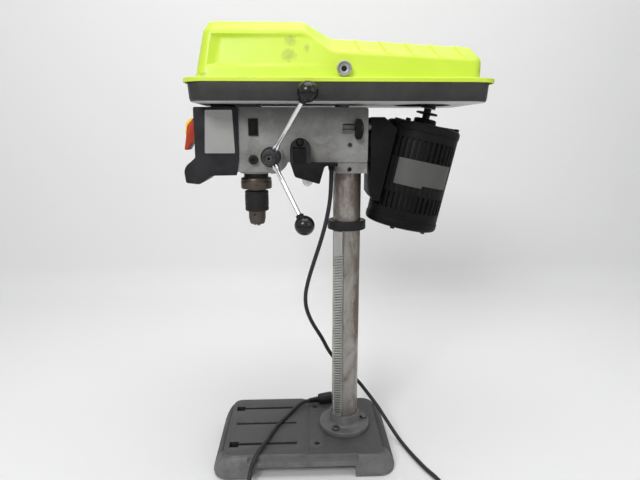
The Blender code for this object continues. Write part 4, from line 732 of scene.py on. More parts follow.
cordShape = {
    "radius": 0.0035, "coilAt": (-0.106, -0.179), "coilRadius": 0.038, "turns": 2.25, "lift": 0.0072,
    "hang": ((-0.0275, -0.0185, 0.508), (-0.0276, -0.0188, 0.495), (-0.0279, -0.019, 0.4831),
             (-0.0294, -0.019, 0.4602), (-0.0351, -0.018, 0.4268), (-0.0438, -0.013, 0.3919),
             (-0.0545, -0.008, 0.356), (-0.0641, -0.002, 0.3223), (-0.0701, 0.004, 0.2913),
             (-0.0688, 0.01, 0.2631), (-0.0588, 0.017, 0.2336), (-0.0402, 0.026, 0.1983),
             (-0.0241, 0.034, 0.1643), (0.003, 0.046, 0.126), (0.0311, 0.052, 0.0958),
             (0.0469, 0.05, 0.0752), (0.0615, 0.043, 0.0575), (0.0735, 0.031, 0.043),
             (0.086, 0.017, 0.0265), (0.0985, 0.002, 0.011), (0.108, -0.017, 0.0042),
             (0.1191, -0.05, 0.0038), (0.1337, -0.0868, 0.0038), (0.147, -0.113, 0.0038),
             (0.1525, -0.142, 0.0038), (0.138, -0.169, 0.0038), (0.105, -0.185, 0.0038),
             (0.06, -0.191, 0.0038), (0.01, -0.1935, 0.0038), (-0.03, -0.1985, 0.0038),
             (-0.054, -0.2065, 0.0038), (-0.0757, -0.2152, 0.0038)),
    "back": ((-0.1486, -0.1545, 0.017), (-0.156, -0.1425, 0.014), (-0.162, -0.129, 0.0115),
             (-0.1655, -0.116, 0.0125), (-0.1652, -0.1065, 0.019), (-0.162, -0.101, 0.0285),
             (-0.157, -0.0955, 0.04), (-0.1515, -0.086, 0.0462), (-0.1455, -0.074, 0.0478),
             (-0.1395, -0.056, 0.0465), (-0.1258, -0.0149, 0.0441), (-0.1085, 0.0163, 0.0441),
             (-0.0985, 0.034, 0.0442), (-0.0895, 0.049, 0.0448), (-0.08, 0.06, 0.0462),
             (-0.071, 0.0655, 0.0468), (-0.064, 0.067, 0.0468)),
}


def throughPoints(points):
    # Catmull-Rom: between b and c, half of 2b + (c-a)t + (2a-5b+4c-d)t^2 + (3b-a-3c+d)t^3
    p = np.asarray(points, float)
    p = np.vstack([2 * p[0] - p[1], p, 2 * p[-1] - p[-2]])
    a, b, c, d = (q[:, None, :] for q in (p[:-3], p[1:-2], p[2:-1], p[3:]))
    t = np.linspace(0, 1, 16, endpoint=False)[None, :, None]
    curve = 0.5 * (2 * b + (c - a) * t + (2 * a - 5 * b + 4 * c - d) * t ** 2
                   + (3 * b - a - 3 * c + d) * t ** 3)
    return np.vstack([curve.reshape(-1, 3), p[-2]])


def evenly(points, spacing):
    run = np.concatenate([[0], np.cumsum(np.linalg.norm(np.diff(points, axis=0), axis=1))])
    at = np.linspace(0, run[-1], max(2, round(run[-1] / spacing)) + 1)
    return np.stack([np.interp(at, run, points[:, k]) for k in range(3)], -1)


def ramp(t, low, high):
    s = np.clip((t - low) / (high - low), 0, 1)
    return s * s * (3 - 2 * s)


def coilPath():
    # circle walked clockwise from its lowest Y: each turn steps up onto the one before over its last third
    c = cordShape
    t = np.linspace(0.0, c["turns"], 90)
    a = -math.pi / 2 - 2 * math.pi * t
    r = c["coilRadius"] + 0.0022 * ramp(t, 0.12, -0.05) + 0.0015 * ramp(t, 2.05, 2.25)
    z = 0.0037 + c["lift"] * (ramp(t, 0.66, 1.0) + ramp(t, 1.66, 2.0))
    return np.stack([c["coilAt"][0] + r * np.cos(a), c["coilAt"][1] + r * np.sin(a), z], -1)


def cordPath():
    c = cordShape
    whole = np.vstack([c["hang"], coilPath()[2::4], c["back"]])
    path = evenly(throughPoints(whole), 0.0045)
    for _ in range(3):
        path[1:-1] = 0.25 * path[:-2] + 0.5 * path[1:-1] + 0.25 * path[2:]
    path[:, 2] = np.maximum(path[:, 2], c["radius"] + 0.0002)
    return path


def powerCord():
    path = cordPath() + columnAt
    curve = bpy.data.curves.new("power_lead", "CURVE")
    curve.dimensions = "3D"
    curve.bevel_depth = cordShape["radius"]
    curve.bevel_resolution = 5
    curve.use_fill_caps = True
    line = curve.splines.new("POLY")
    line.points.add(len(path) - 1)
    line.points.foreach_set("co", np.column_stack([path, np.ones(len(path))]).ravel())
    line.use_smooth = True
    curve.materials.append(finishes["cord"])
    lead = bpy.data.objects.new("power_lead", curve)
    bpy.context.scene.collection.objects.link(lead)
    length = float(np.linalg.norm(np.diff(path, axis=0), axis=1).sum())
    print("cord length", round(length, 3))
    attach(lead, "stand")
    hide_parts("power_cord", "cord_coil", "plug_cord")
    return lead, path


lead, leadPath = powerCord()


# Base, flange and column

base = {
    "x": (-0.213, 0.061), "y": 0.089, "top": 0.0384, "pad": 0.0018, "corner": 0.02, "wall": 0.008,
    "padEnd": -0.065, "slotX": (-0.196, -0.086), "slotY": 0.056, "slotWide": 0.0095,
    "skirt": ((0.007, 0.0002), (0.0086, 0.0016), (0.009, 0.006), (0.0088, 0.01), (0.0072, 0.018),
              (0.0044, 0.029), (0.0022, 0.035), (0.0008, 0.0372), (-0.001, 0.0382), (-0.0024, 0.0384)),
    "boltCircle": 0.0365, "boltAngles": (-120.0, 8.0, 120.0), "flange": 0.0455, "flangeThick": 0.0088,
    "socket": 0.027, "socketTop": 0.068, "boltHole": 0.0043, "benchHole": (-0.052, 0.058),
}
column = {"inside": 0.019, "outside": 0.023, "z": (0.0387, 0.596)}
barBore = column["outside"] + clearance


def skirtRing(outset, z, shrink=0.0):
    grow = outset - shrink
    return roundedRing((base["x"][0] - outset * 1.9 + shrink, base["x"][1] + outset * 2.3 - shrink),
                       (-base["y"] - grow, base["y"] + grow), z, base["corner"] + outset - 0.5 * shrink, 12)


def around(radius, degrees):
    a = math.radians(degrees)
    return np.array([radius * math.cos(a), radius * math.sin(a), 0.0])


def capsule(x0, x1, y, half, steps=10):
    # slot with round ends
    a = np.radians(np.linspace(-90, 90, steps))
    right = np.stack([x1 - half + half * np.cos(a), y + half * np.sin(a)], -1)
    left = np.stack([x0 + half - half * np.cos(a), y - half * np.sin(a)], -1)
    return np.vstack([right, left])


def boltHoles():
    b = base
    return [bore(b["boltHole"], 0.02, 0.06, centre=around(b["boltCircle"], a)) for a in b["boltAngles"]]


def castBase():
    b = base
    top = b["top"] + b["pad"]
    body = layered([skirtRing(o, z) for o, z in b["skirt"]])
    pad = layered([roundedRing((b["x"][0] + i, b["padEnd"] - i), (-b["y"] + i, b["y"] - i), z, 0.015, 8)
                   for i, z in ((0.001, b["top"] - 0.003), (0.001, top - 0.001), (0.0013, top - 0.0004),
                                (0.002, top))])
    adds, cuts = [pad], [layered([skirtRing(o, z, b["wall"]) for o, z in
                                  ((0.0088, -0.002), (0.0085, 0.006), (0.0044, 0.026), (0.003, 0.0304))])]
    for side in (-1, 1):
        hole = (b["benchHole"][0], side * b["benchHole"][1], 0)
        adds.append(rod(0.012, b["top"] - 0.004, b["top"] + 0.0012, centre=hole))
        cuts += [bore(0.0048, 0.02, 0.05, centre=hole),
                 block((-0.166, 0.012), sorted((side * 0.12, side * (b["y"] - 0.006))), (-0.002, 0.0205)),
                 pushed(np.array([(side * 0.0872, 0.06), (side * 0.0872, 0.0315), (side * 0.098, 0.0262),
                                  (side * 0.12, 0.0262), (side * 0.12, 0.06)]), -0.17, 0.016, "X"),
                 pushed(capsule(*b["slotX"], side * b["slotY"], b["slotWide"] / 2), 0.02, 0.06, "Z"),
                 block((b["slotX"][0] - 0.009, b["slotX"][0] + 0.007),
                       (side * b["slotY"] - 0.0092, side * b["slotY"] + 0.0092), (0.0205, 0.0595))]
    cuts.append(pushed(capsule(-0.2005, -0.0875, 0.005, 0.0042), b["top"] - 0.004, 0.05, "Z"))
    piece("cast_base", body, "castBase", "stand", "base_casting", adds=adds, cuts=cuts + boltHoles(),
          bevel=0.0011)


def castFlange():
    b = base
    low = b["top"] + clearance
    step = low + b["flangeThick"]
    profile = eased([(barBore, low), (b["flange"], low), (b["flange"], step), (0.03, step),
                     (b["socket"], step + 0.0042), (b["socket"] - 0.0003, b["socketTop"]),
                     (barBore, b["socketTop"])],
                    [0, 0.001, 0.0022, 0.003, 0.003, 0.0016, 0.0008], steps=6)
    piece("column_foot", turned(profile, ring=True, sides=120), "castFoot", "stand", "column_flange",
          cuts=boltHoles())
    seat = step + clearance
    for number, angle in enumerate(b["boltAngles"], 1):
        at = around(b["boltCircle"], angle)
        bolt = hexHead(0.012, seat, seat + 0.0042, centre=at, start=math.radians(angle)) \
            + rod(0.0064, seat, seat + 0.0006, centre=at, edge=0.0002) \
            + rod(0.004, 0.033, seat + 0.001, centre=at)
        piece(f"foot_bolt_{number}", bolt, "screw", "stand", f"flange_bolt_{number}")


rack = {"facing": -124.0, "width": 0.016, "back": 0.02335, "tip": 0.0298, "tooth": 0.003, "pitch": 0.00471,
        "z": (0.0705, 0.4095), "teethTop": 0.367, "slant": 0.0022,
        "flank": 0.16, "fallAt": 0.44, "lip": 0.0008, "crown": 0.0035}


def columnAndRack():
    tube = tubeProfile(column["inside"], column["outside"], *column["z"], 0.001)
    piece("column_bar", turned(tube, ring=True, sides=144),
          "column", "stand", "column_tube")
    r = rack
    # tooth outline down the bar: slanted flanks between tip and root, the row slanting across its width
    count = int((r["teethTop"] - r["z"][0] - r["slant"]) / r["pitch"])
    at = r["teethTop"] - r["pitch"] * np.arange(count)[:, None]
    flank = r["flank"] * np.array([0.0, 0.5, 1.0])
    fall = r["pitch"] * np.concatenate([flank, r["fallAt"] + flank])
    depth = r["tip"] - r["tooth"] * np.array([0.0, 0.5, 1.0, 1.0, 0.5, 0.0])
    teeth = np.stack([np.broadcast_to(depth, (count, 6)), at - fall], -1).reshape(-1, 2)
    outline = np.vstack([[(r["back"], r["z"][0]), (r["back"], r["z"][1]), (r["tip"] - 0.0012, r["z"][1]),
                          (r["tip"], r["z"][1] - 0.0012), (r["tip"], r["teethTop"] + 0.003)], teeth,
                         [(r["tip"], r["z"][0])]])
    slant = np.concatenate([np.zeros(5), np.full(len(teeth), r["slant"]), [0.0]])
    half = r["width"] / 2
    side = np.array([-half, r["lip"] - half, half - r["lip"], half])[:, None]
    drop = np.array([0.0007, 0.0, 0.0, 0.0007])[:, None]
    out, up = outline[None, :, 0], outline[None, :, 1]
    radius = np.maximum(out - np.where(out > r["tip"] - r["crown"], drop, 0), r["back"])
    points = np.stack([radius, side + 0 * radius, up + slant * side / half], -1)
    bar = gridSurface(points).moved(Matrix.Rotation(math.radians(r["facing"]), 4, "Z"))
    piece("column_toothed_bar", bar, "rack", "rack", "column_rack", sharp=25)
    low = r["z"][1] + clearance
    profile = eased([(barBore, low), (0.032, low), (0.032, low + 0.015), (barBore, low + 0.015)],
                    [0.0004, 0.0014, 0.0022, 0.0006], steps=6)
    piece("top_collar", turned(profile, ring=True, sides=120), "blackSteel", "stand", "rack_collar")


# Head

head = {"y": 0.042, "x": (-0.178, 0.028), "top": 0.606, "belly": 0.523, "nose": 0.508, "padTop": 0.6104,
        "pinion": (-0.122, 0.532), "boss": 0.027, "spindleX": -0.15, "barY": 0.033, "barZ": 0.577,
        "bar": 0.006, "wing": (0.012, 0.573), "clampZ": (0.549, 0.511), "lockZ": 0.527,
        "trayBolt": (-0.01, 0.03)}
nearFace = -head["y"] - clearance


def arcPoints(centre, radius, first, last, steps):
    a = np.radians(np.linspace(first, last, steps))
    return np.stack([centre[0] + radius * np.cos(a), centre[1] + radius * np.sin(a)], -1)


def castHead():
    h = head
    px, pz = h["pinion"]
    belly = arcPoints((px, pz), h["boss"], -97, -20, 14)
    outline = np.vstack([[(h["x"][0], h["nose"]), (px - 0.006, h["nose"])], belly[1:],
                         [(h["x"][1], h["belly"]), (h["x"][1], h["top"]), (h["x"][0], h["top"])]])
    reach = np.zeros(len(outline))
    reach[0], reach[-3:] = 0.003, (0.004, 0.005, 0.004)
    body = pushed(eased(outline, reach, steps=5), -h["y"], h["y"])
    spindle = (h["spindleX"], 0, 0)
    # collars for the quill, the column and the feed shaft, and a pad under the tray
    adds = [turned(rodProfile(0.0262, 0.5035, 0.52, 0.0014), centre=spindle),
            turned(rodProfile(0.026, 0.504, 0.53, 0.0018)),
            turned(rodProfile(0.019, -h["y"] - 0.0045, -h["y"] + 0.004, 0.0014), "Y", (px, 0, pz)),
            block((-0.1765, -0.142), (-0.034, 0.034), (h["top"] - 0.004, h["padTop"])),
            block((-0.019, h["x"][1]), (-0.0385, 0.0385), (0.505, 0.526))]
    cuts = [bore(barBore, 0.49, 0.598, sides=96),
            bore(0.02035, 0.495, 0.596, centre=spindle, sides=96),
            bore(0.0122, 0.59, 0.62, centre=spindle),
            bore(0.00935, -0.06, 0.06, "Y", (px, 0, pz)),
            bore(0.004, -0.06, -0.018, "Y", (h["spindleX"], 0, h["lockZ"])),
            bore(0.0033, -0.06, -0.03, "Y", (h["wing"][0], 0, h["wing"][1]))]
    for side in (-1, 1):
        adds.append(rod(0.009, h["top"] - 0.004, h["padTop"],
                        centre=(h["trayBolt"][0], side * h["trayBolt"][1], 0)))
        cuts.append(bore(h["bar"] + clearance, -0.04, 0.06, "X", (0, side * h["barY"], h["barZ"])))
    for z in h["clampZ"]:
        cuts.append(bore(0.0037, -0.06, -0.015, "Y", (0, 0, z)))
    cuts.append(pushed(eased([(-0.012, 0.5655), (0.021, 0.5655), (0.021, 0.5815), (-0.012, 0.5815)], 0.003),
                       -h["y"] - 0.001, -h["y"] + 0.0052))
    piece("cast_head", body, "castHead", "stand", "head_casting", adds=adds, cuts=cuts, bevel=0.0013)


def headFittings():
    h = head
    # socket head set screws that clamp the head on the column
    upper, lower = h["clampZ"]
    for name, z, face in (("clamp_screw_upper", upper, -h["y"]), ("clamp_screw_lower", lower, -0.026)):
        end = min(face + 0.0025, -barBore - 0.0022)
        screw = turned(rodProfile(0.0034, end, -barBore, 0.0005), "Y", (0, 0, z), 40)
        deep = min(0.003, (-barBore - end) * 0.6)
        cuts = [turned([(0.0018, end - 0.004), (0.0018, end + deep)], "Y", (0, 0, z), 6)]
        piece(name + "_seen", screw, "screw", "stand", name, cuts=cuts)
    lock = eased([(0.0003, -0.0209), (0.0037, -0.0209), (0.0037, nearFace), (0.0072, nearFace),
                  (0.0072, -h["y"] - 0.0065), (0.0003, -h["y"] - 0.0065)], 0.0007, closed=False)
    centre = (h["spindleX"], 0, h["lockZ"])
    socket = turned([(0.003, -h["y"] - 0.01), (0.003, -h["y"] - 0.003)], "Y", centre, 6)

    def knurl(a, r, h):
        return np.where(r > 0.007, 0.00012 * np.sin(44 * a), 0.0)
    piece("quill_lock_screw", turned(lock, "Y", centre, 176, waves=knurl), "blackSteel", "quill_lock",
          "quill_lock", cuts=[socket])
    # wing screw on the near slide bar
    face, (x, z) = -h["y"] - 0.0008, h["wing"]
    stem = turned(eased([(0.0004, -0.0393), (0.003, -0.0393), (0.003, face), (0.0062, face),
                         (0.0055, face - 0.006), (0.004, face - 0.009), (0.0004, face - 0.0092)], 0.0006,
                        closed=False), "Y", (x, 0, z), 64)
    wing = np.array([(-0.0035, -0.0155), (0.0035, -0.0155), (0.0065, -0.009), (0.0035, 0.0), (0.0065, 0.009),
                     (0.0035, 0.0155), (-0.0035, 0.0155), (-0.0065, 0.009), (-0.0035, 0.0),
                     (-0.0065, -0.009)])
    leaf = pushed(eased(wing, 0.0026, steps=5) + np.array([x, z]), face - 0.013, face - 0.003)
    piece("motor_wing_screw", stem, "rocker", "wing", "motor_lock_wing", adds=[leaf], bevel=0.0007)


# Switch box on the nose of the head

boxShape = {"y": 0.045, "front": -0.2385, "back": -0.171, "top": 0.606}


def switchBox():
    b, f = boxShape["back"], boxShape["front"]
    top, half = boxShape["top"], boxShape["y"]
    outline = [(b - 0.005, 0.503), (b - 0.001, 0.527), (b, top), (f, top), (f - 0.0005, 0.53),
               (f - 0.015, 0.518), (f - 0.0185, 0.51), (f - 0.0165, 0.4915), (f + 0.0045, 0.489),
               (f + 0.024, 0.5025)]
    reach = [0.002, 0.003, 0.002, 0.003, 0.003, 0.004, 0.004, 0.003, 0.004, 0.003]
    inside = 0.0423
    cuts = [block((f + 0.003, -0.15), (-inside, inside), (0.506, top - 0.003)),
            block((-0.1812, -0.15), (-inside, inside), (0.48, top + 0.01)),
            block((f - 0.01, f + 0.01), (-0.0105, 0.0105), (0.553, 0.585))]
    piece("switch_box", pushed(eased(outline, reach, steps=5), -half, half), "plastic", "stand",
          "control_box", cuts=cuts, bevel=0.0013)
    plate = eased([(-0.2235, 0.537), (-0.1775, 0.537), (-0.18, 0.6015), (-0.2205, 0.6015)], 0.0016)
    piece("box_plate", pushed(plate, -half - clearance - 0.0004, -half - clearance), "paleLabel", "stand",
          "box_label")


def paddleSwitch():
    f = boxShape["front"]
    shape = [(-0.0015, 0.556), (-0.0015, 0.5835), (-0.0095, 0.5865), (-0.0165, 0.579), (-0.019, 0.56),
             (-0.0225, 0.5415), (-0.0175, 0.5405), (-0.011, 0.553)]
    outline = eased([(f + x, z) for x, z in shape], [0.001, 0.001, 0.003, 0.005, 0.006, 0.002, 0.002, 0.005],
                    steps=5)
    stem = pushed(np.array([(f - 0.004, 0.56), (f + 0.008, 0.572), (f + 0.008, 0.582), (f - 0.004, 0.582)]),
                  -0.0101, 0.0101)
    piece("stop_paddle", pushed(outline, -0.016, 0.016), "red", "switch", "switch_paddle", adds=[stem],
          bevel=0.0012)
    key = [(-0.0172, 0.579), (-0.0105, 0.5862), (-0.0075, 0.59), (-0.013, 0.5905), (-0.02, 0.582),
           (-0.0218, 0.565), (-0.0193, 0.5648)]
    outline = eased([(f + x - clearance, z + clearance) for x, z in key], 0.0014, steps=4)
    piece("start_key", pushed(outline, -0.006, 0.006), "yellow", "switch", "switch_key", bevel=0.0008)


def lightSwitch():
    face, x, z = nearFace, -0.149, 0.576
    frameCut = [block((x - 0.0057, x + 0.0057), (face - 0.01, face - 0.0008), (z - 0.011, z + 0.011))]
    surround = block((x - 0.0075, x + 0.0075), (face - 0.0022, face), (z - 0.013, z + 0.013))
    piece("light_switch_frame", surround, "plastic", "stand", "rocker_frame", cuts=frameCut, bevel=0.0006)
    pivot = (x, face - 0.0026, z)
    outline = eased([(0.0, 0.0102), (-0.0022, 0.01), (-0.0014, 0.0), (-0.0004, -0.01), (0.0008, -0.0102),
                     (0.0011, 0.0)], [0.0004, 0.0005, 0.004, 0.0004, 0.0003, 0.002], steps=4)
    rocker = pushed(outline + np.array([pivot[1], pivot[2]]), x - 0.0053, x + 0.0053, "X")
    # grip bars moulded on the lower half, and a sunk ring on the upper half
    for k in range(5):
        low = z - 0.0094 + 0.0018 * k
        depth = (pivot[1] - 0.0012 - 0.00012 * k, pivot[1] + 0.0003)
        rocker = rocker + block((x - 0.0044, x + 0.0044), depth, (low, low + 0.0008))
    ring = turned(tubeProfile(0.0013, 0.0021, pivot[1] - 0.0023, pivot[1] - 0.001, 0.0002), "Y",
                  (x, 0, z + 0.0062), 40, ring=True)
    piece("light_rocker_key", rocker + ring, "rocker", "rocker", "light_rocker", bevel=0.0003, segments=2)


lamp = {"x": (-0.093, -0.0615), "face": -0.058, "top": 0.56, "screw": (-0.07775, 0.5535),
        "bulb": (-0.066, -0.03)}


def workLamp():
    d, face = lamp, lamp["face"]
    middle, half = sum(d["x"]) / 2, (d["x"][1] - d["x"][0]) / 2
    crown = arcPoints((middle, d["top"] - half), half, 0, 180, 28)
    body = pushed(np.vstack([[(d["x"][0], 0.5226), (d["x"][1], 0.5226)], crown]), face, nearFace)
    plate = pushed(np.array([(face - 0.0034, 0.5236), (face + 0.002, 0.5236), (face + 0.002, 0.5468),
                             (face - 0.0004, 0.5468), (face - 0.0034, 0.5424)]), -0.0884, -0.0692, "X")
    sx, sz = d["screw"]
    recess = turned([(0.0062, -0.07), (0.0062, face + 0.006)], "Y", (sx, 0, sz), 48)
    piece("lamp_body", body, "lampBodyLit", "stand", "lamp_housing", cuts=[recess], bevel=0.0012,
          segments=4)
    screwHead = eased([(0.0003, face + 0.0057), (0.0052, face + 0.0057), (0.0052, face + 0.0026),
                       (0.003, face + 0.0016), (0.0003, face + 0.0014)], 0.0006, closed=False)
    slots = [block((sx - 0.0028, sx + 0.0028), (face - 0.001, face + 0.003), (sz - 0.0006, sz + 0.0006)),
             block((sx - 0.0006, sx + 0.0006), (face - 0.001, face + 0.003), (sz - 0.0028, sz + 0.0028))]
    piece("lamp_fixing_screw", turned(screwHead, "Y", (sx, 0, sz), 48), "blackSteel", "stand", "lamp_screw",
          cuts=slots)
    piece("lamp_front_plate", plate, "rocker", "stand", bevel=0.0008)
    top = 0.5225
    outer = eased([(-0.0928, top), (-0.086, 0.5012), (-0.048, 0.4902), (-0.04, 0.518), (-0.02, 0.518),
                   (-0.02, top)], [0.001, 0.003, 0.002, 0.004, 0.001, 0.001], steps=5)
    inner = [(-0.0895, 0.5195), (-0.083, 0.49), (-0.05, 0.48), (-0.043, 0.5195)]
    cuts = [pushed(np.array(inner), face + 0.003, -0.013),
            bore(0.0078, 0.515, 0.5205, centre=(*d["bulb"], 0)),
            block((-0.038, -0.01), (-0.036, 0.0), (0.5, 0.53))]
    piece("lamp_hood", pushed(outer, face, -0.01), "lampPlastic", "stand", "lamp_shade", cuts=cuts,
          bevel=0.0012)
    glass = eased([(0.0003, 0.5195), (0.0075, 0.5195), (0.0075, 0.508), (0.0088, 0.5), (0.0088, 0.492),
                   (0.0065, 0.4862), (0.0003, 0.4835)], [0, 0.001, 0.003, 0.004, 0.004, 0.004, 0],
                  closed=False, steps=6)
    piece("lamp_globe", turned(glass, centre=(*d["bulb"], 0), sides=64), "bulb", "stand", "lamp_bulb")


def cordEntry():
    # ribbed strain relief: rings that shrink towards the cord
    x, y, z = cordShape["hang"][0]
    t = np.linspace(0, 1, 61)
    radius = 0.0041 + 0.0022 * t + 0.00035 * np.where(np.sin(t * 5 * 2 * math.pi) > 0, 1, -0.2) * (t < 0.93)
    profile = np.column_stack([radius, z + clearance + t * (0.5227 - z - clearance)])
    piece("cord_entry", turned(profile, centre=(x, y, 0), sides=64), "plastic", "stand", "cord_gland")


def trayGapShade():
    # dark block in the gap between the switch box and the tray as painted shade, with two gaps
    gaps = [block((x - 0.0016, x + 0.0016), (-0.04, 0.04), (0.607, 0.6098)) for x in (-0.1895, -0.1815)]
    pad = block((-0.214, -0.179), (-0.03, 0.03), (0.6063, head["padTop"]))
    piece("tray_rest", pad, "belt", "stand", cuts=gaps, bevel=0.0004, segments=2)


castBase()
castFlange()
columnAndRack()
print("stand made")
castHead()
headFittings()
switchBox()
paddleSwitch()
lightSwitch()
workLamp()
cordEntry()
trayGapShade()
print("head made")


# Feed hub, handles and return spring

feed = {"at": head["pinion"], "rootY": -0.065, "rod": 0.0034, "reach": 0.0958, "splay": 29.5,
        "angles": (58.5, -62.0), "emptyAngle": 180.0, "ball": 0.0145, "grip": 0.0105, "gripEnd": -0.113}


def onRod(angle):
    # frame whose X runs out along a handle rod
    a, s = math.radians(angle), math.radians(feed["splay"])
    aim = Vector((math.cos(a) * math.cos(s), -math.sin(s), math.sin(a) * math.cos(s)))
    turn = aim.to_track_quat("X", "Z").to_matrix().to_4x4()
    return Matrix.Translation((feed["at"][0], feed["rootY"], feed["at"][1])) @ turn


def feedHub():
    f = feed
    centre = (f["at"][0], 0, f["at"][1])
    g, end = f["grip"], f["gripEnd"]
    outline = eased([(0.00935, -0.0478), (0.015, -0.0478), (0.015, -0.053), (0.0143, -0.0536),
                     (0.0143, -0.0548), (0.015, -0.0554), (0.015, -0.0722), (0.0122, -0.075),
                     (0.0092, -0.076), (0.0092, -0.096), (g, -0.0968), (g, -0.0974), (g, end + 0.0016),
                     (g - 0.0008, end + 0.0002), (0.007, end), (0.0062, end + 0.001), (0.002, end + 0.0012),
                     (0.002, -0.0642), (0.00935, -0.0642)],
                    [0, 0.0008, 0.0003, 0.0003, 0.0003, 0.0003, 0.001, 0.001, 0.0005, 0.0006, 0.0003, 0.0002,
                     0.0005, 0.0005, 0.0004, 0.0003, 0, 0, 0], steps=3)

    def knurl(a, r, h):
        on = (r > g - 0.0009) & (h > end + 0.0001) & (h < -0.0965)
        return np.where(on, 0.00028 * (np.abs((a * 46 / (2 * math.pi)) % 1.0 - 0.5) * 2 - 0.9), 0.0)
    socket = turned([(f["rod"] + clearance, 0.01), (f["rod"] + clearance, 0.03)], "X", sides=32)
    cuts = [socket.moved(onRod(a)) for a in f["angles"] + (f["emptyAngle"],)]
    hub = turned(outline, "Y", centre, 276, ring=True, waves=knurl)
    piece("feed_knurled_hub", hub, "hub", "feed", "feed_hub", cuts=cuts)
    shaft = rod(0.009, -0.0622, 0.052, "Y", centre, edge=0.001)
    turns = np.linspace(0, 2 * math.pi, 12, endpoint=False)
    roots = np.array(centre) + 0.0094 * across(np.cos(turns), np.sin(turns), 0 * turns, "Y")
    gaps = [rod(0.0016, -0.014, 0.014, "Y", at, 12) for at in roots]
    piece("pinion", shaft, "screw", "feed", "pinion_shaft", cuts=gaps)
    for number, angle in enumerate(f["angles"], 1):
        feedHandle(number, onRod(angle))


def feedHandle(number, frameOf):
    f = feed
    r, reach = f["rod"], f["reach"]
    stem = eased([(0.0004, 0.0105), (r, 0.0105), (r, 0.015), (r + 0.0018, 0.0166), (r + 0.0018, 0.0206),
                  (r + 0.0006, 0.0236), (r, 0.0262), (r, reach + 0.008), (0.0004, reach + 0.008)],
                 [0, 0.0006, 0.001, 0.0006, 0.0006, 0.001, 0.001, 0.0006, 0], closed=False)
    piece(f"handle_rod_{number}", turned(stem, "X", sides=64).moved(frameOf), "chrome", "feed",
          f"feed_rod_{number}")
    centre, neck = reach + 0.026, reach + 0.008 + clearance
    ball = arcPoints((centre, 0.0), f["ball"], 150, 14, 40)[:, ::-1]
    seam = f["ball"] + centre
    profile = np.vstack([[(0.0004, neck), (0.005, neck), (0.0058, neck + 0.0004), (0.0063, neck + 0.0014),
                          (0.006, neck + 0.0026)], ball, [(0.003, seam - 0.0004), (0.0024, seam - 0.0006),
                                                           (0.0004, seam - 0.0006)]])
    piece(f"handle_ball_{number}", turned(profile, "X", sides=72).moved(frameOf), "knob", "feed",
          f"feed_knob_{number}")


def returnSpring():
    # coil spring drum on the far side of the head: dished cover, rim notches and a lock nut
    x, z = feed["at"]
    y = head["y"] + clearance
    profile = eased([(0.0096, y), (0.027, y), (0.027, y + 0.013), (0.0245, y + 0.015), (0.013, y + 0.0138),
                     (0.013, y + 0.015), (0.0096, y + 0.015)],
                    [0.0002, 0.001, 0.0015, 0.0012, 0.0006, 0.0004, 0.0002])
    notch = [block((0.0255, 0.03), (y + 0.009, y + 0.02), (-0.0022, 0.0022)).moved(
        Matrix.Translation((x, 0, z)) @ Matrix.Rotation(math.radians(60 * k + 20), 4, "Y")) for k in range(6)]
    piece("return_spring_drum", turned(profile, "Y", (x, 0, z), 96, ring=True), "blackSteel", "stand",
          "spring_housing", cuts=notch, bevel=0.0003, segments=2)


# Quill, spindle and chuck

chuck = {"x": head["spindleX"], "top": 0.475, "sleeveLow": 0.4413, "bottom": 0.419, "nose": 0.014,
         "sleeve": 0.0195}


def quillAndSpindle():
    c = (chuck["x"], 0, 0)
    seat, r, low, high = 0.0153, 0.02, 0.479, 0.59
    z = low + 0.0178 + 0.0012 * np.arange(6)
    thread = np.stack([np.column_stack([np.full(6, r - deep), z + deep]) for deep in (0.0, 0.0006)], 1)
    profile = np.vstack([[(seat, low), (r - 0.0008, low), (r, low + 0.0008)], thread.reshape(-1, 2),
                         [(r, low + 0.0252), (r, high - 0.001), (r - 0.001, high), (seat, high),
                          (seat, high - 0.009), (0.011, high - 0.009), (0.011, low + 0.01),
                          (seat, low + 0.01)]])
    tip = 0.0185
    comb = [(0.03, 0.524), (0.03, 0.6), (tip, 0.6)]
    for z in np.arange(0.586, 0.53, -0.00471):
        comb += [(tip, z), (tip - 0.0018, z - 0.0006), (tip - 0.0018, z - 0.002), (tip, z - 0.0026)]
    flat = pushed(np.array(comb + [(tip, 0.524)]), -0.0085, 0.0085).moved(Matrix.Translation(c))
    piece("quill_sleeve", turned(profile, centre=c, ring=True), "screw", "quill", "quill_tube", cuts=[flat])
    ring = eased([(0.0203, 0.478), (0.024, 0.478), (0.02525, 0.4792), (0.02525, 0.4905), (0.0246, 0.4911),
                  (0.0246, 0.4922), (0.02525, 0.4928), (0.0243, 0.4958), (0.0203, 0.496)], 0.0005)
    piece("quill_nut", turned(ring, centre=c, ring=True, sides=120), "rusty", "quill", "quill_collar")
    for name, z in (("lower_bearing", low + 0.0008), ("upper_bearing", high - 0.0087)):
        race = eased([(0.0083, z), (0.0108, z), (0.011, z + 0.0006), (0.0127, z + 0.0006), (0.0129, z),
                      (0.015, z), (0.015, z + 0.0082), (0.0083, z + 0.0082)], 0.0002, steps=2)
        piece(name + "_race", turned(race, centre=c, ring=True), "bearing", "quill", name)
    taper = eased([(0.0003, 0.452), (0.0068, 0.452), (0.0076, 0.4753), (0.0125, 0.4753), (0.0125, 0.4794),
                   (0.008, 0.4794), (0.008, 0.675), (0.0003, 0.675)], [0, .0006, 0, .0008, .0003, 0, .001, 0],
                  closed=False)

    def splines(a, r, h):
        return np.where((h > 0.592) & (h < 0.6745) & (r > 0.0072), -0.0006 * (np.cos(6 * a) > 0.2), 0.0)
    piece("drive_spindle", turned(taper, centre=c, waves=splines), "ground", "spindle", "spindle")


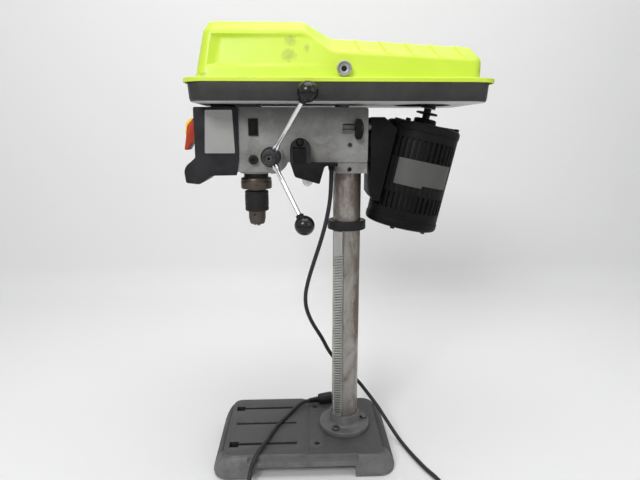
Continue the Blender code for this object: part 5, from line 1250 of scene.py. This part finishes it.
def drillChuck():
    k = chuck
    c, top, shelf = (k["x"], 0, 0), k["top"], k["sleeveLow"] - clearance
    foot, nose = k["bottom"], k["nose"]
    profile = eased([(0.0062, foot), (0.0112, foot), (0.0122, foot + 0.0015), (nose, foot + 0.01),
                     (nose, shelf - 0.004), (nose + 0.0005, shelf + 0.001), (0.0152, shelf + 0.0015),
                     (0.0152, top - 0.004), (0.012, top), (0.008, top), (0.0071, 0.4505), (0.0062, 0.45)],
                    0.0006)
    room = 0.0028
    cuts = []
    for n in range(3):
        lean = jawFrame(n)
        cuts.append(block((-room, room), (-room, room), (-0.005, 0.03)).moved(lean))
        cuts.append(turned([(0.0024, 0.01), (0.0024, 0.018)], "X", sides=40).moved(
            Matrix.Translation((k["x"], 0, 0.4355)) @ Matrix.Rotation(math.radians(120 * n - 100), 4, "Z")))
        half = 0.0025
        corners = ((-half, -half), (half, -half), (half, half), (-half, half))
        jaw = gridSurface(np.array([[(x, y, z) for x, y in corners] for z in (0.0003, 0.02)]))
        jaw.points[:4, 0] = np.where(jaw.points[:4, 0] > 0, 0.0012, jaw.points[:4, 0])
        piece(f"jaw_tooth_{n + 1}", jaw.moved(lean), "screw", f"jaw_{n + 1}", f"chuck_jaw_{n + 1}",
              bevel=0.0003, segments=2)
    piece("chuck_core", turned(profile, centre=c, ring=True, sides=144), "rusty", "spindle", "chuck_body",
          cuts=cuts, bevel=0.0002, segments=2)
    low, high, r = k["sleeveLow"], top - 0.0005, k["sleeve"]
    sunk, inside = r - 0.0005, 0.01555
    shell = eased([(inside, low), (r - 0.0012, low), (r, low + 0.0014), (r, low + 0.0062),
                   (sunk, low + 0.0066), (sunk, low + 0.0078), (r, low + 0.0082), (r, high - 0.006),
                   (sunk, high - 0.0056), (sunk, high - 0.0046), (r, high - 0.0042), (r, high - 0.0014),
                   (r - 0.0014, high), (inside, high)], 0.00025, steps=2)

    def knurl(a, rad, h):
        on = (h > low + 0.008) & (h < high - 0.0058) & (rad > r - 0.0002)
        return np.where(on, -0.00022 * (np.abs((a * 60 / (2 * math.pi)) % 1.0 - 0.5) * 2), 0.0)
    piece("chuck_shell", turned(shell, centre=c, ring=True, sides=300, waves=knurl), "blackSteel",
          "chuck_sleeve", "chuck_sleeve")


def jawFrame(number):
    turn = math.radians(120 * number + 60)
    foot = Matrix.Translation((chuck["x"] + 0.0043 * math.cos(turn), 0.0043 * math.sin(turn), 0.416))
    return foot @ Matrix.Rotation(turn, 4, "Z") @ Matrix.Rotation(math.radians(15), 4, "Y")


# Motor, hung from two bars, tilted towards the belt

motor = {"at": (0.125, 0.0, 0.58), "tilt": 12.0, "r": 0.06, "long": 0.168, "vents": 40,
         "ventZ": ((-0.0575, -0.0255), (-0.139, -0.1115)), "ventWide": 0.005, "capDeep": 0.014}
motorFrame = Matrix.Translation(motor["at"]) @ Matrix.Rotation(math.radians(motor["tilt"]), 4, "Y")


def motorDrum():
    m = motor
    r, bottom = m["r"], -m["long"]
    slots = None
    for z0, z1 in m["ventZ"]:
        outline = capsule(z0, z1, 0.0, m["ventWide"] / 2, 7)[:, ::-1]
        for k in range(m["vents"]):
            tool = pushed(outline, r - 0.0046, r + 0.004, "X").moved(
                Matrix.Rotation(2 * math.pi * (k + 0.5) / m["vents"], 4, "Z"))
            slots = tool if slots is None else slots + tool
    end = m["capDeep"] + clearance
    shell = turned(tubeProfile(r - 0.003, r - 0.001, bottom + end, -end, 0.0003), ring=True, sides=240)
    piece("motor_drum", shell.moved(motorFrame), "motor", "motor", "motor_shell",
          cuts=[slots.moved(motorFrame)])
    # winding stack inside the drum, near black as painted shade seen through the vents
    stack = turned(tubeProfile(0.0425, r - 0.0052, bottom + 0.016, -0.0165, 0.003), ring=True)
    piece("motor_winding_stack", stack.moved(motorFrame), "shadeBlack", "motor")


def motorEnds():
    m = motor
    r, bottom, seat = m["r"], -m["long"], 0.00635
    upper = eased([(seat, 0.0095), (0.0165, 0.0095), (0.018, 0.008), (0.0185, 0.0005), (r - 0.004, -0.001),
                   (r - 0.0012, -0.003), (r, -0.006), (r, -0.014), (r - 0.003, -0.014), (r - 0.003, -0.006),
                   (seat, -0.005)], [0.0004, 0.001, 0.002, 0.003, 0.001, 0.001, 0.002, 0.0006, 0.0003, 0,
                                     0.0003])
    bolts = [hexHead(0.007, -0.003, 0.0026, centre=around(0.053, a)) for a in (-132, -22, 102)]
    webs = [block((0.018, 0.054), (-0.0016, 0.0016), (-0.0035, 0.0012)).moved(
        Matrix.Rotation(math.radians(a), 4, "Z")) for a in (-102, -42, 18, 78, 138, 198)]
    piece("motor_cap_top", turned(upper, ring=True, sides=160).moved(motorFrame), "motor", "motor",
          "motor_end_top", adds=[s.moved(motorFrame) for s in webs + bolts], bevel=0.0005, segments=2)
    lower = eased([(0.0004, bottom + 0.005), (0.01, bottom + 0.005), (0.01, bottom), (r - 0.006, bottom),
                   (r - 0.0016, bottom + 0.0022), (r, bottom + 0.006), (r, bottom + 0.014),
                   (r - 0.003, bottom + 0.014), (r - 0.003, bottom + 0.007), (0.0004, bottom + 0.0062)],
                  [0, .0004, .0008, .002, .001, .002, .0006, .0003, 0, 0], closed=False)
    under = [hexHead(0.0066, -0.0002, 0.0024, centre=around(0.049, a)).moved(
        Matrix.Translation((0, 0, bottom)) @ Matrix.Rotation(math.pi, 4, "X")) for a in (-65, -130, 50, 115)]
    piece("motor_cap_bottom", turned(lower, sides=160).moved(motorFrame), "motor", "motor",
          "motor_end_bottom", adds=[s.moved(motorFrame) for s in under], bevel=0.0004, segments=2)


# degrees round the drum where the plate starts, steps up and ends, and its heights
plateShape = {"from": -128, "step": (-84.2, -84), "to": -36, "low": (-0.0985, -0.0945), "high": -0.0575,
              "thick": 0.0005}


def motorPlate():
    # plate bent around the drum, its lower edge stepped down over the left part
    m = plateShape
    r = motor["r"] - 0.001 + clearance
    before, after = np.linspace(m["from"], m["step"][0], 23), np.linspace(m["step"][1], m["to"], 25)
    a = np.radians(np.concatenate([before, after]))
    low = np.where(np.arange(len(a)) < len(before), *m["low"])
    high, face = 0 * a + m["high"], r + m["thick"]
    rings = [np.stack([out * np.cos(a), out * np.sin(a), z], -1)
             for out, z in ((r, low), (face, low), (face, high), (r, high))]
    plate = gridSurface(np.stack(rings, 1))
    piece("motor_plate", plate.moved(motorFrame), "motorLabel", "motor", "motor_label")


def onMotor(x, z):
    p = motorFrame @ Vector((x, 0, z))
    return (p.x, p.z)


def motorMount():
    near, x, z1 = 0.011 - motor["r"], 0.0335, 0.5915
    outline = [(x, 0.47), onMotor(near - 0.011, -0.133), onMotor(near - 0.001, -0.133),
               onMotor(near, -0.0165), (x + 0.02, z1), (x, z1)]
    room = motor["r"] + clearance
    cuts = [turned([(room, -0.2), (room, 0.03)], sides=128).moved(motorFrame),
            block((x + 0.0045, 0.14), (-0.034, 0.034), (0.47, 0.566))]
    for number, side in enumerate((-1, 1), 1):
        centre = (0, side * head["barY"], head["barZ"])
        cuts.append(bore(head["bar"] + clearance, 0.02, 0.045, "X", centre))
        piece(f"mount_bar_{number}", rod(head["bar"], -0.03, 0.0445, "X", centre), "screw", "motor",
              f"slide_bar_{number}")
    piece("motor_mount", pushed(np.array(outline), -0.04, 0.04), "motor", "motor", "motor_bracket",
          cuts=cuts, bevel=0.0016)
    shaft = eased([(0.0003, -0.155), (0.006, -0.155), (0.006, -0.13), (0.04, -0.13), (0.04, -0.03),
                   (0.006, -0.03), (0.006, 0.0164), (0.0172, 0.0172), (0.0172, 0.0196), (0.006, 0.0204),
                   (0.006, 0.1), (0.0003, 0.1)], [0, .001, 0, .002, .002, 0, 0, .0005, .0005, 0, .001, 0],
                  closed=False)
    piece("motor_rotor_shaft", turned(shaft, sides=80).moved(motorFrame), "blackSteel", "rotor",
          "motor_shaft")


# Step pulleys and belt

drive = {"steps": 5, "rise": 0.011, "middle": 0.027, "change": 0.003, "groove": 0.0062, "low": 0.626,
         "slope": 0.03}


def stepRim(inside, bottom, largestOnTop):
    d = drive
    rim = [(inside, bottom)]
    for k in range(d["steps"]):
        order = k - (d["steps"] - 1) / 2
        tip = d["middle"] + (order if largestOnTop else -order) * d["change"]
        z, root, half = bottom + k * d["rise"], tip - d["groove"], d["rise"] / 2
        rim += [(tip, z + 0.0001), (tip, z + half - 0.005), (root, z + half - 0.0028),
                (root, z + half + 0.0028), (tip, z + half + 0.005), (tip, z + d["rise"] - 0.0001)]
    return rim + [(inside, bottom + d["steps"] * d["rise"])]


beltHeight = drive["low"] + drive["steps"] * drive["rise"] / 2
lean = math.radians(motor["tilt"])
motorGroove = (beltHeight - 0.5 * drive["slope"] * math.tan(lean) - motor["at"][2]) / math.cos(lean)


def stepPulleys():
    inside = 0.00835
    profile = [(inside, 0.599), (0.0118, 0.599), (0.0118, drive["low"] - 0.0004)] \
        + stepRim(inside, drive["low"], False)[1:]
    piece("spindle_step_pulley", turned(profile, centre=(chuck["x"], 0, 0), ring=True), "aluminium",
          "spindle_pulley", "spindle_pulley", bevel=0.0003, segments=2)
    low = motorGroove - drive["steps"] * drive["rise"] / 2
    # dark sleeve on the motor pulley's hub: painted shade under the tray
    hubShade = turned(tubeProfile(0.0104, 0.0116, 0.0262, low - 0.003, 0.0004), ring=True)
    piece("motor_pulley_collar", hubShade.moved(motorFrame), "blackSteel", "rotor")
    profile = [(0.0063, 0.026), (0.0101, 0.026), (0.0101, low - 0.0004)] + stepRim(0.0063, low, True)[1:]
    piece("motor_step_pulley", turned(profile, ring=True).moved(motorFrame), "aluminium", "rotor",
          "motor_pulley", bevel=0.0003, segments=2)


def beltRun(end, side):
    # a level run, then a drop that steepens evenly until it meets the tilted groove
    x = np.concatenate([np.linspace(chuck["x"] + 0.03, end[0] - drive["slope"], 30),
                        end[0] - drive["slope"] * (1 - np.linspace(0.1, 0.9, 9))])
    s = np.clip((x - end[0] + drive["slope"]) / drive["slope"], 0, 1)
    drop = 0.5 * drive["slope"] * math.tan(lean) * s * s
    centre = np.stack([x, 0 * x, beltHeight - drop], -1)
    up = np.stack([np.sin(lean * s), 0 * x, np.cos(lean * s)], -1)
    return centre, np.broadcast_to([0.0, side, 0.0], centre.shape), up


def beltWrap(middle, first, tilt):
    # half turn round a pulley from the first angle: its middle, the way out and the way up at each step
    a = np.radians(np.linspace(first, first + 180, 40))
    out = np.stack([np.cos(a) * math.cos(tilt), np.sin(a), -np.cos(a) * math.sin(tilt)], -1)
    return (np.broadcast_to(middle, out.shape), out,
            np.broadcast_to([math.sin(tilt), 0.0, math.cos(tilt)], out.shape))


def driveBelt():
    end = np.array(motor["at"]) + motorGroove * np.array([math.sin(lean), 0, math.cos(lean)])
    start = np.array([chuck["x"], 0, beltHeight])
    front, back = beltWrap(start, 90, 0.0), beltWrap(end, -90, lean)
    near, far = beltRun(end, -1.0), beltRun(end, 1.0)
    centre, out, up = (np.vstack([front[k], near[k], back[k], far[k][::-1]]) for k in range(3))
    section = eased([(-0.0056, -0.0024), (-0.0003, -0.0044), (-0.0003, 0.0044), (-0.0056, 0.0024)], 0.0005,
                    steps=2)
    points = centre[:, None] + out[:, None] * (drive["middle"] + section[None, :, :1]) \
        + up[:, None] * section[None, :, 1:]
    belt = piece("drive_belt", gridSurface(points, ring=True), "belt", None, "v_belt")
    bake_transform(belt)


# Belt tray, hinge and cover

tray = {"x": (-0.237, 0.197), "y": 0.107, "low": 0.6107, "rim": 0.637, "taper": 0.003, "wall": 0.0028,
        "corner": 0.03, "holeZ": (0.6, 0.63)}
hinge = {"x": (-0.14, 0.11), "y": 0.1115, "z": 0.64, "knuckles": 10, "gap": 0.0002}


def panRing(inset, z):
    t = tray
    return roundedRing((t["x"][0] + inset * 0.5, t["x"][1] - inset * 0.4), (-t["y"] + inset, t["y"] - inset),
                       z, t["corner"] - inset * 0.5, 16)


def beltTray():
    t, low, w = tray["taper"], tray["low"], tray["wall"]
    outer = eased([(t + 0.02, low), (t + 0.0004, low), (0.0, tray["rim"])], [0, 0.0065, 0], closed=False,
                  steps=8)
    inner = eased([(t + w + 0.004, low + w), (t + w, low + w + 0.004), (w, tray["rim"] - 0.0006),
                   (w - 0.0006, tray["rim"] + 0.01)], [0, 0.002, 0.0004, 0], closed=False)
    cuts = [layered([panRing(i, z) for i, z in inner]),
            bore(0.017, *tray["holeZ"], centre=(chuck["x"], 0, 0), sides=72),
            bore(0.045, *tray["holeZ"], centre=(0.12, 0, 0), sides=120)]
    boltX, boltY = head["trayBolt"]
    cuts += [bore(0.0031, *tray["holeZ"], centre=(boltX, side * boltY, 0)) for side in (-1, 1)]
    piece("belt_pan", layered([panRing(i, z) for i, z in outer]), "tray", "stand", "belt_tray", cuts=cuts,
          bevel=0.0005, segments=2)


def coverHinge():
    (low, high), y, z, gap = hinge["x"], hinge["y"], hinge["z"], hinge["gap"]
    each = (high - low) / hinge["knuckles"]
    knuckles = [rod(0.003, low + each * k + gap, low + each * (k + 1) - gap, "X", (0, y, z), 32, 0.0003)
                for k in range(hinge["knuckles"])]
    knuckles.append(rod(0.0024, low, high, "X", (0, y, z), 24))
    knuckles.append(block((low + 0.001, high - 0.001), (0.109, y - 0.0008), (0.629, z)))
    leaf = block((low, high), (tray["y"] + clearance, tray["y"] + 0.003), (0.62, tray["rim"] - 0.0002))
    piece("cover_hinge", leaf, "blackSteel", "stand", "hinge_leaf", adds=knuckles, bevel=0.0002, segments=2)


# the cover's shape: heights and half widths of its shoulder and top edge along X
cover = {
    "lipX": (-0.243, 0.205), "lipY": 0.108, "lipZ": (0.6373, 0.6433), "footX": (-0.2268, 0.186),
    "footY": 0.09, "shoulderX": (-0.213, 0.186), "topX": (-0.206, 0.18), "wall": 0.0022,
    "slope": (-0.072, -0.031), "shoulderZ": (0.7085, 0.681, 0.67), "shoulderY": (0.08, 0.085),
    "topZ": (0.7225, 0.703, 0.692), "topY": (0.066, 0.048),
    "panelZ": (0.6588, 0.7034), "panelX": -0.2012, "panelLean": 0.16, "panelLong": 0.165, "panelDeep": 0.0058,
    "panelTurnZ": 0.701, "panelWalls": (0.0036, 0.0062, 0.01), "nearX": (-0.222, 0.19), "nearY": -0.03,
    "corners": (0.032, 0.032, 0.02, 0.014, 0.01), "eases": (0.0016, 0.003, 0.005, 0.005), "spineIn": 0.03,
    "louvreSkew": 0.007, "louvreFades": (0.02, 0.14, 0.97, 0.1),
    "louvres": 5, "louvreFrom": 0.001, "louvreStep": 0.037, "louvreLong": 0.03, "louvreHigh": 0.003,
}


def along(x, values):
    # straight between the front, the two ends of the slope and the back, its corners rounded over 14 mm
    values = values if len(values) == 3 else (*values, values[-1])
    table = np.arange(-0.3, 0.3, 0.0005)
    level = np.interp(table, [*cover["slope"], cover["shoulderX"][1]], values)
    for _ in range(2):
        level = np.convolve(np.pad(level, 8, "edge"), np.ones(17) / 17, "valid")
    return np.interp(x, table, level)


def coverRing(xs, half, height, radius, share):
    # walk round a rounded rectangle: near side front to back, back end, far side, front end
    (x0, x1), cornerSteps, endSteps = xs, 10, 26
    sideX = x0 + radius + (x1 - x0 - 2 * radius) * share
    a = np.radians(np.linspace(0, 90, cornerSteps + 2)[1:-1])
    w0, w1 = float(half(x0)), float(half(x1))
    end = np.linspace(-1, 1, endSteps)
    near = np.stack([sideX, -half(sideX)], -1)
    backCorner = np.stack([x1 - radius + radius * np.sin(a), -w1 + radius - radius * np.cos(a)], -1)
    back = np.stack([np.full(endSteps, x1), end * (w1 - radius)], -1)
    frontCorner = np.stack([x0 + radius - radius * np.sin(a), w0 - radius + radius * np.cos(a)], -1)
    front = np.stack([np.full(endSteps, x0), -end * (w0 - radius)], -1)
    mirror = np.array([1, -1])
    ring = np.vstack([near, backCorner, back, (backCorner * mirror)[::-1], (near * mirror)[::-1], frontCorner,
                      front, (frontCorner * mirror)[::-1]])
    return np.column_stack([ring, height(ring[:, 0])])


def roundedAcross(rows, reach):
    # the corner rule of eased(), for every column of a stack of rings at once; six rows to a corner
    made = [rows[0]]
    for k in range(1, len(rows) - 1):
        ends = []
        for side in (rows[k - 1] - rows[k], rows[k + 1] - rows[k]):
            long = np.linalg.norm(side, axis=-1, keepdims=True)
            ends.append(rows[k] + side / np.maximum(long, 1e-9) * np.minimum(reach[k], 0.45 * long))
        for t in np.linspace(0, 1, 6):
            made.append((1 - t) ** 2 * ends[0] + 2 * t * (1 - t) * rows[k] + t ** 2 * ends[1])
    return made + [rows[-1]]


def split(a, b, count):
    t = np.linspace(0, 1, count + 2)[1:-1, None, None]
    return list(a + (b - a) * t)


def pressed(points, normal):
    # sunk panel on the near side that runs out to the back, and skewed louvre folds on the near bevel
    c = cover
    x, y, z = points[..., 0], points[..., 1], points[..., 2]
    rise = np.zeros(x.shape)
    nearSide = (y < c["nearY"]) & (x > c["nearX"][0]) & (x < c["nearX"][1])
    (low, high), begin = c["panelZ"], c["panelX"] - c["panelLean"] * (c["panelTurnZ"] - z)
    above, below, front = c["panelWalls"]
    runsOut = np.clip(1 - (x - begin) / c["panelLong"], 0, 1)
    walls = np.minimum(np.minimum((high - z) / above, (z - low) / below), (x - begin) / front)
    walls = np.clip(walls, 0, 1)
    rise -= np.where(nearSide, c["panelDeep"] * runsOut * walls * walls * (3 - 2 * walls), 0)
    shoulder, top = along(x, c["shoulderZ"]), along(x, c["topZ"])
    q = np.clip((z - shoulder) / np.maximum(top - shoulder, 1e-6), -0.3, 1.2)
    start, fadeIn, end, fadeOut = c["louvreFades"]
    band = np.clip((q - start) / fadeIn, 0, 1) * np.clip((end - q) / fadeOut, 0, 1)
    for k in range(c["louvres"]):
        s = (x - c["louvreFrom"] - c["louvreStep"] * k - c["louvreSkew"] * (1 - q)) / c["louvreLong"]
        fold = np.clip(s / 0.035, 0, 1) * np.clip(1 - s, 0, 1)
        rise += np.where(nearSide, c["louvreHigh"] * fold * band, 0)
    return points + normal * rise[..., None]


def beltCover():
    c = cover
    share = np.unique(np.concatenate([np.linspace(0, 1, 80), np.linspace(0.5, 0.98, 140)]))

    def level(value): return lambda x: np.full(np.shape(x), value)
    def follow(values): return lambda x: along(x, values)
    low, high = c["lipZ"]
    walks = ((c["lipX"], level(c["lipY"]), level(low)), (c["lipX"], level(c["lipY"]), level(high)),
             (c["footX"], level(c["footY"]), level(high)),
             (c["shoulderX"], follow(c["shoulderY"]), follow(c["shoulderZ"])),
             (c["topX"], follow(c["topY"]), follow(c["topZ"])))
    rings = [coverRing(*walk, radius, share) for walk, radius in zip(walks, c["corners"])]
    spine = rings[-1].copy()
    spine[:, 1] = 0.0
    spine[:, 0] = np.clip(spine[:, 0], c["topX"][0] + c["spineIn"], c["topX"][1] - c["spineIn"])
    spine[:, 2] = along(spine[:, 0], c["topZ"])
    rows = roundedAcross(rings + [spine], [0, *c["eases"], 0])
    # corner k ends at row 6k; the wall and the bevel between corners are split finely for the pressings
    made = rows[:13] + split(rows[12], rows[13], 38) + rows[13:19] + split(rows[18], rows[19], 14) \
        + rows[19:25]
    for t in np.linspace(0, 1, 8)[1:]:
        inner = rows[24] + (rows[25] - rows[24]) * t
        inner[:, 2] = along(inner[:, 0], c["topZ"])
        made.append(inner)
    points = np.stack(made)
    normal = np.cross(np.roll(points, -1, 1) - np.roll(points, 1, 1), np.gradient(points, axis=0))
    normal /= np.maximum(np.linalg.norm(normal, axis=-1, keepdims=True), 1e-12)
    lid = toObject("belt_cover", gridSurface(pressed(points, normal), capped=False))
    step = lid.modifiers.new("sheet", "SOLIDIFY")
    step.thickness, step.offset, step.use_even_offset = c["wall"], -1.0, False
    weld(lid.data, weldReach["sheet"])
    settle(lid)
    dress(lid, "lime", "lid", "belt_lid", sharp=30)
    print("cover faces:", len(lid.data.polygons))


latchAt = (-0.015, 0, 0.656)


def coverCup():
    cup = eased([(0.0038, -0.089), (0.005, -0.089), (0.005, -0.0906), (0.0078, -0.0906), (0.0105, -0.095),
                 (0.0105, -0.0985), (0.0092, -0.0995), (0.0068, -0.0955), (0.005, -0.0945),
                 (0.0038, -0.0945)], 0.0006)
    piece("cover_latch_cup", turned(cup, "Y", latchAt, ring=True), "cup", "lid", "lid_cup")
    # black disc filling the cup's hole: painted shade
    piece("cover_latch_bore", rod(0.0037, -0.0938, -0.09, "Y", latchAt), "shadeBlack", "lid")


# Plug at the free end of the cord

def powerPlug():
    start, before = Vector(leadPath[-1] - columnAt), Vector(leadPath[-2] - columnAt)
    aim = start - before
    start = start + aim.normalized() * clearance
    aim.z = 0.0
    frameOf = Matrix.Translation(start) @ aim.to_track_quat("X", "Z").to_matrix().to_4x4()
    # how far out, half width and half height: five relief ribs, then the body
    stations = [(0.0, 0.0044, 0.0044)]
    for k in range(5):
        x, wide = 0.0016 + 0.0034 * k, 0.0045 + 0.00032 * k
        tall, sunk = wide - 0.0002 * k, wide - 0.0008
        stations += [(x, wide, tall), (x + 0.0017, wide, tall),
                     (x + 0.0019, sunk, sunk), (x + 0.0032, sunk, sunk)]
    stations += [(0.0195, 0.006, 0.0052), (0.0208, 0.0098, 0.007), (0.0225, 0.0114, 0.0077),
                 (0.033, 0.0121, 0.0079), (0.044, 0.0125, 0.008), (0.0482, 0.0122, 0.0078),
                 (0.0492, 0.0114, 0.007)]
    rings = []
    for x, y, z in stations:
        ring = roundedRing((-y, y), (-z, z), 0.0, min(y, z) * 0.8, 8)
        rings.append(np.column_stack([np.full(len(ring), x), ring[:, 0], ring[:, 1]]))
    blades = [block((0.048, 0.0665), sorted((side * 0.0055, side * 0.007)), (-0.0032, 0.0032)).moved(frameOf)
              for side in (-1, 1)]
    plug = piece("mains_plug", layered(rings).moved(frameOf), "plugBlack", "stand", "power_plug")
    pins = piece("mains_plug_blades", blades[0] + blades[1], "bearing", "stand", bevel=0.0004, segments=2)


feedHub()
returnSpring()
quillAndSpindle()
drillChuck()
print("feed, quill and chuck made")
motorDrum()
motorEnds()
motorPlate()
motorMount()
stepPulleys()
driveBelt()
print("motor and drive made")
beltTray()
coverHinge()
beltCover()
coverCup()
powerPlug()
print("cover and cord made")
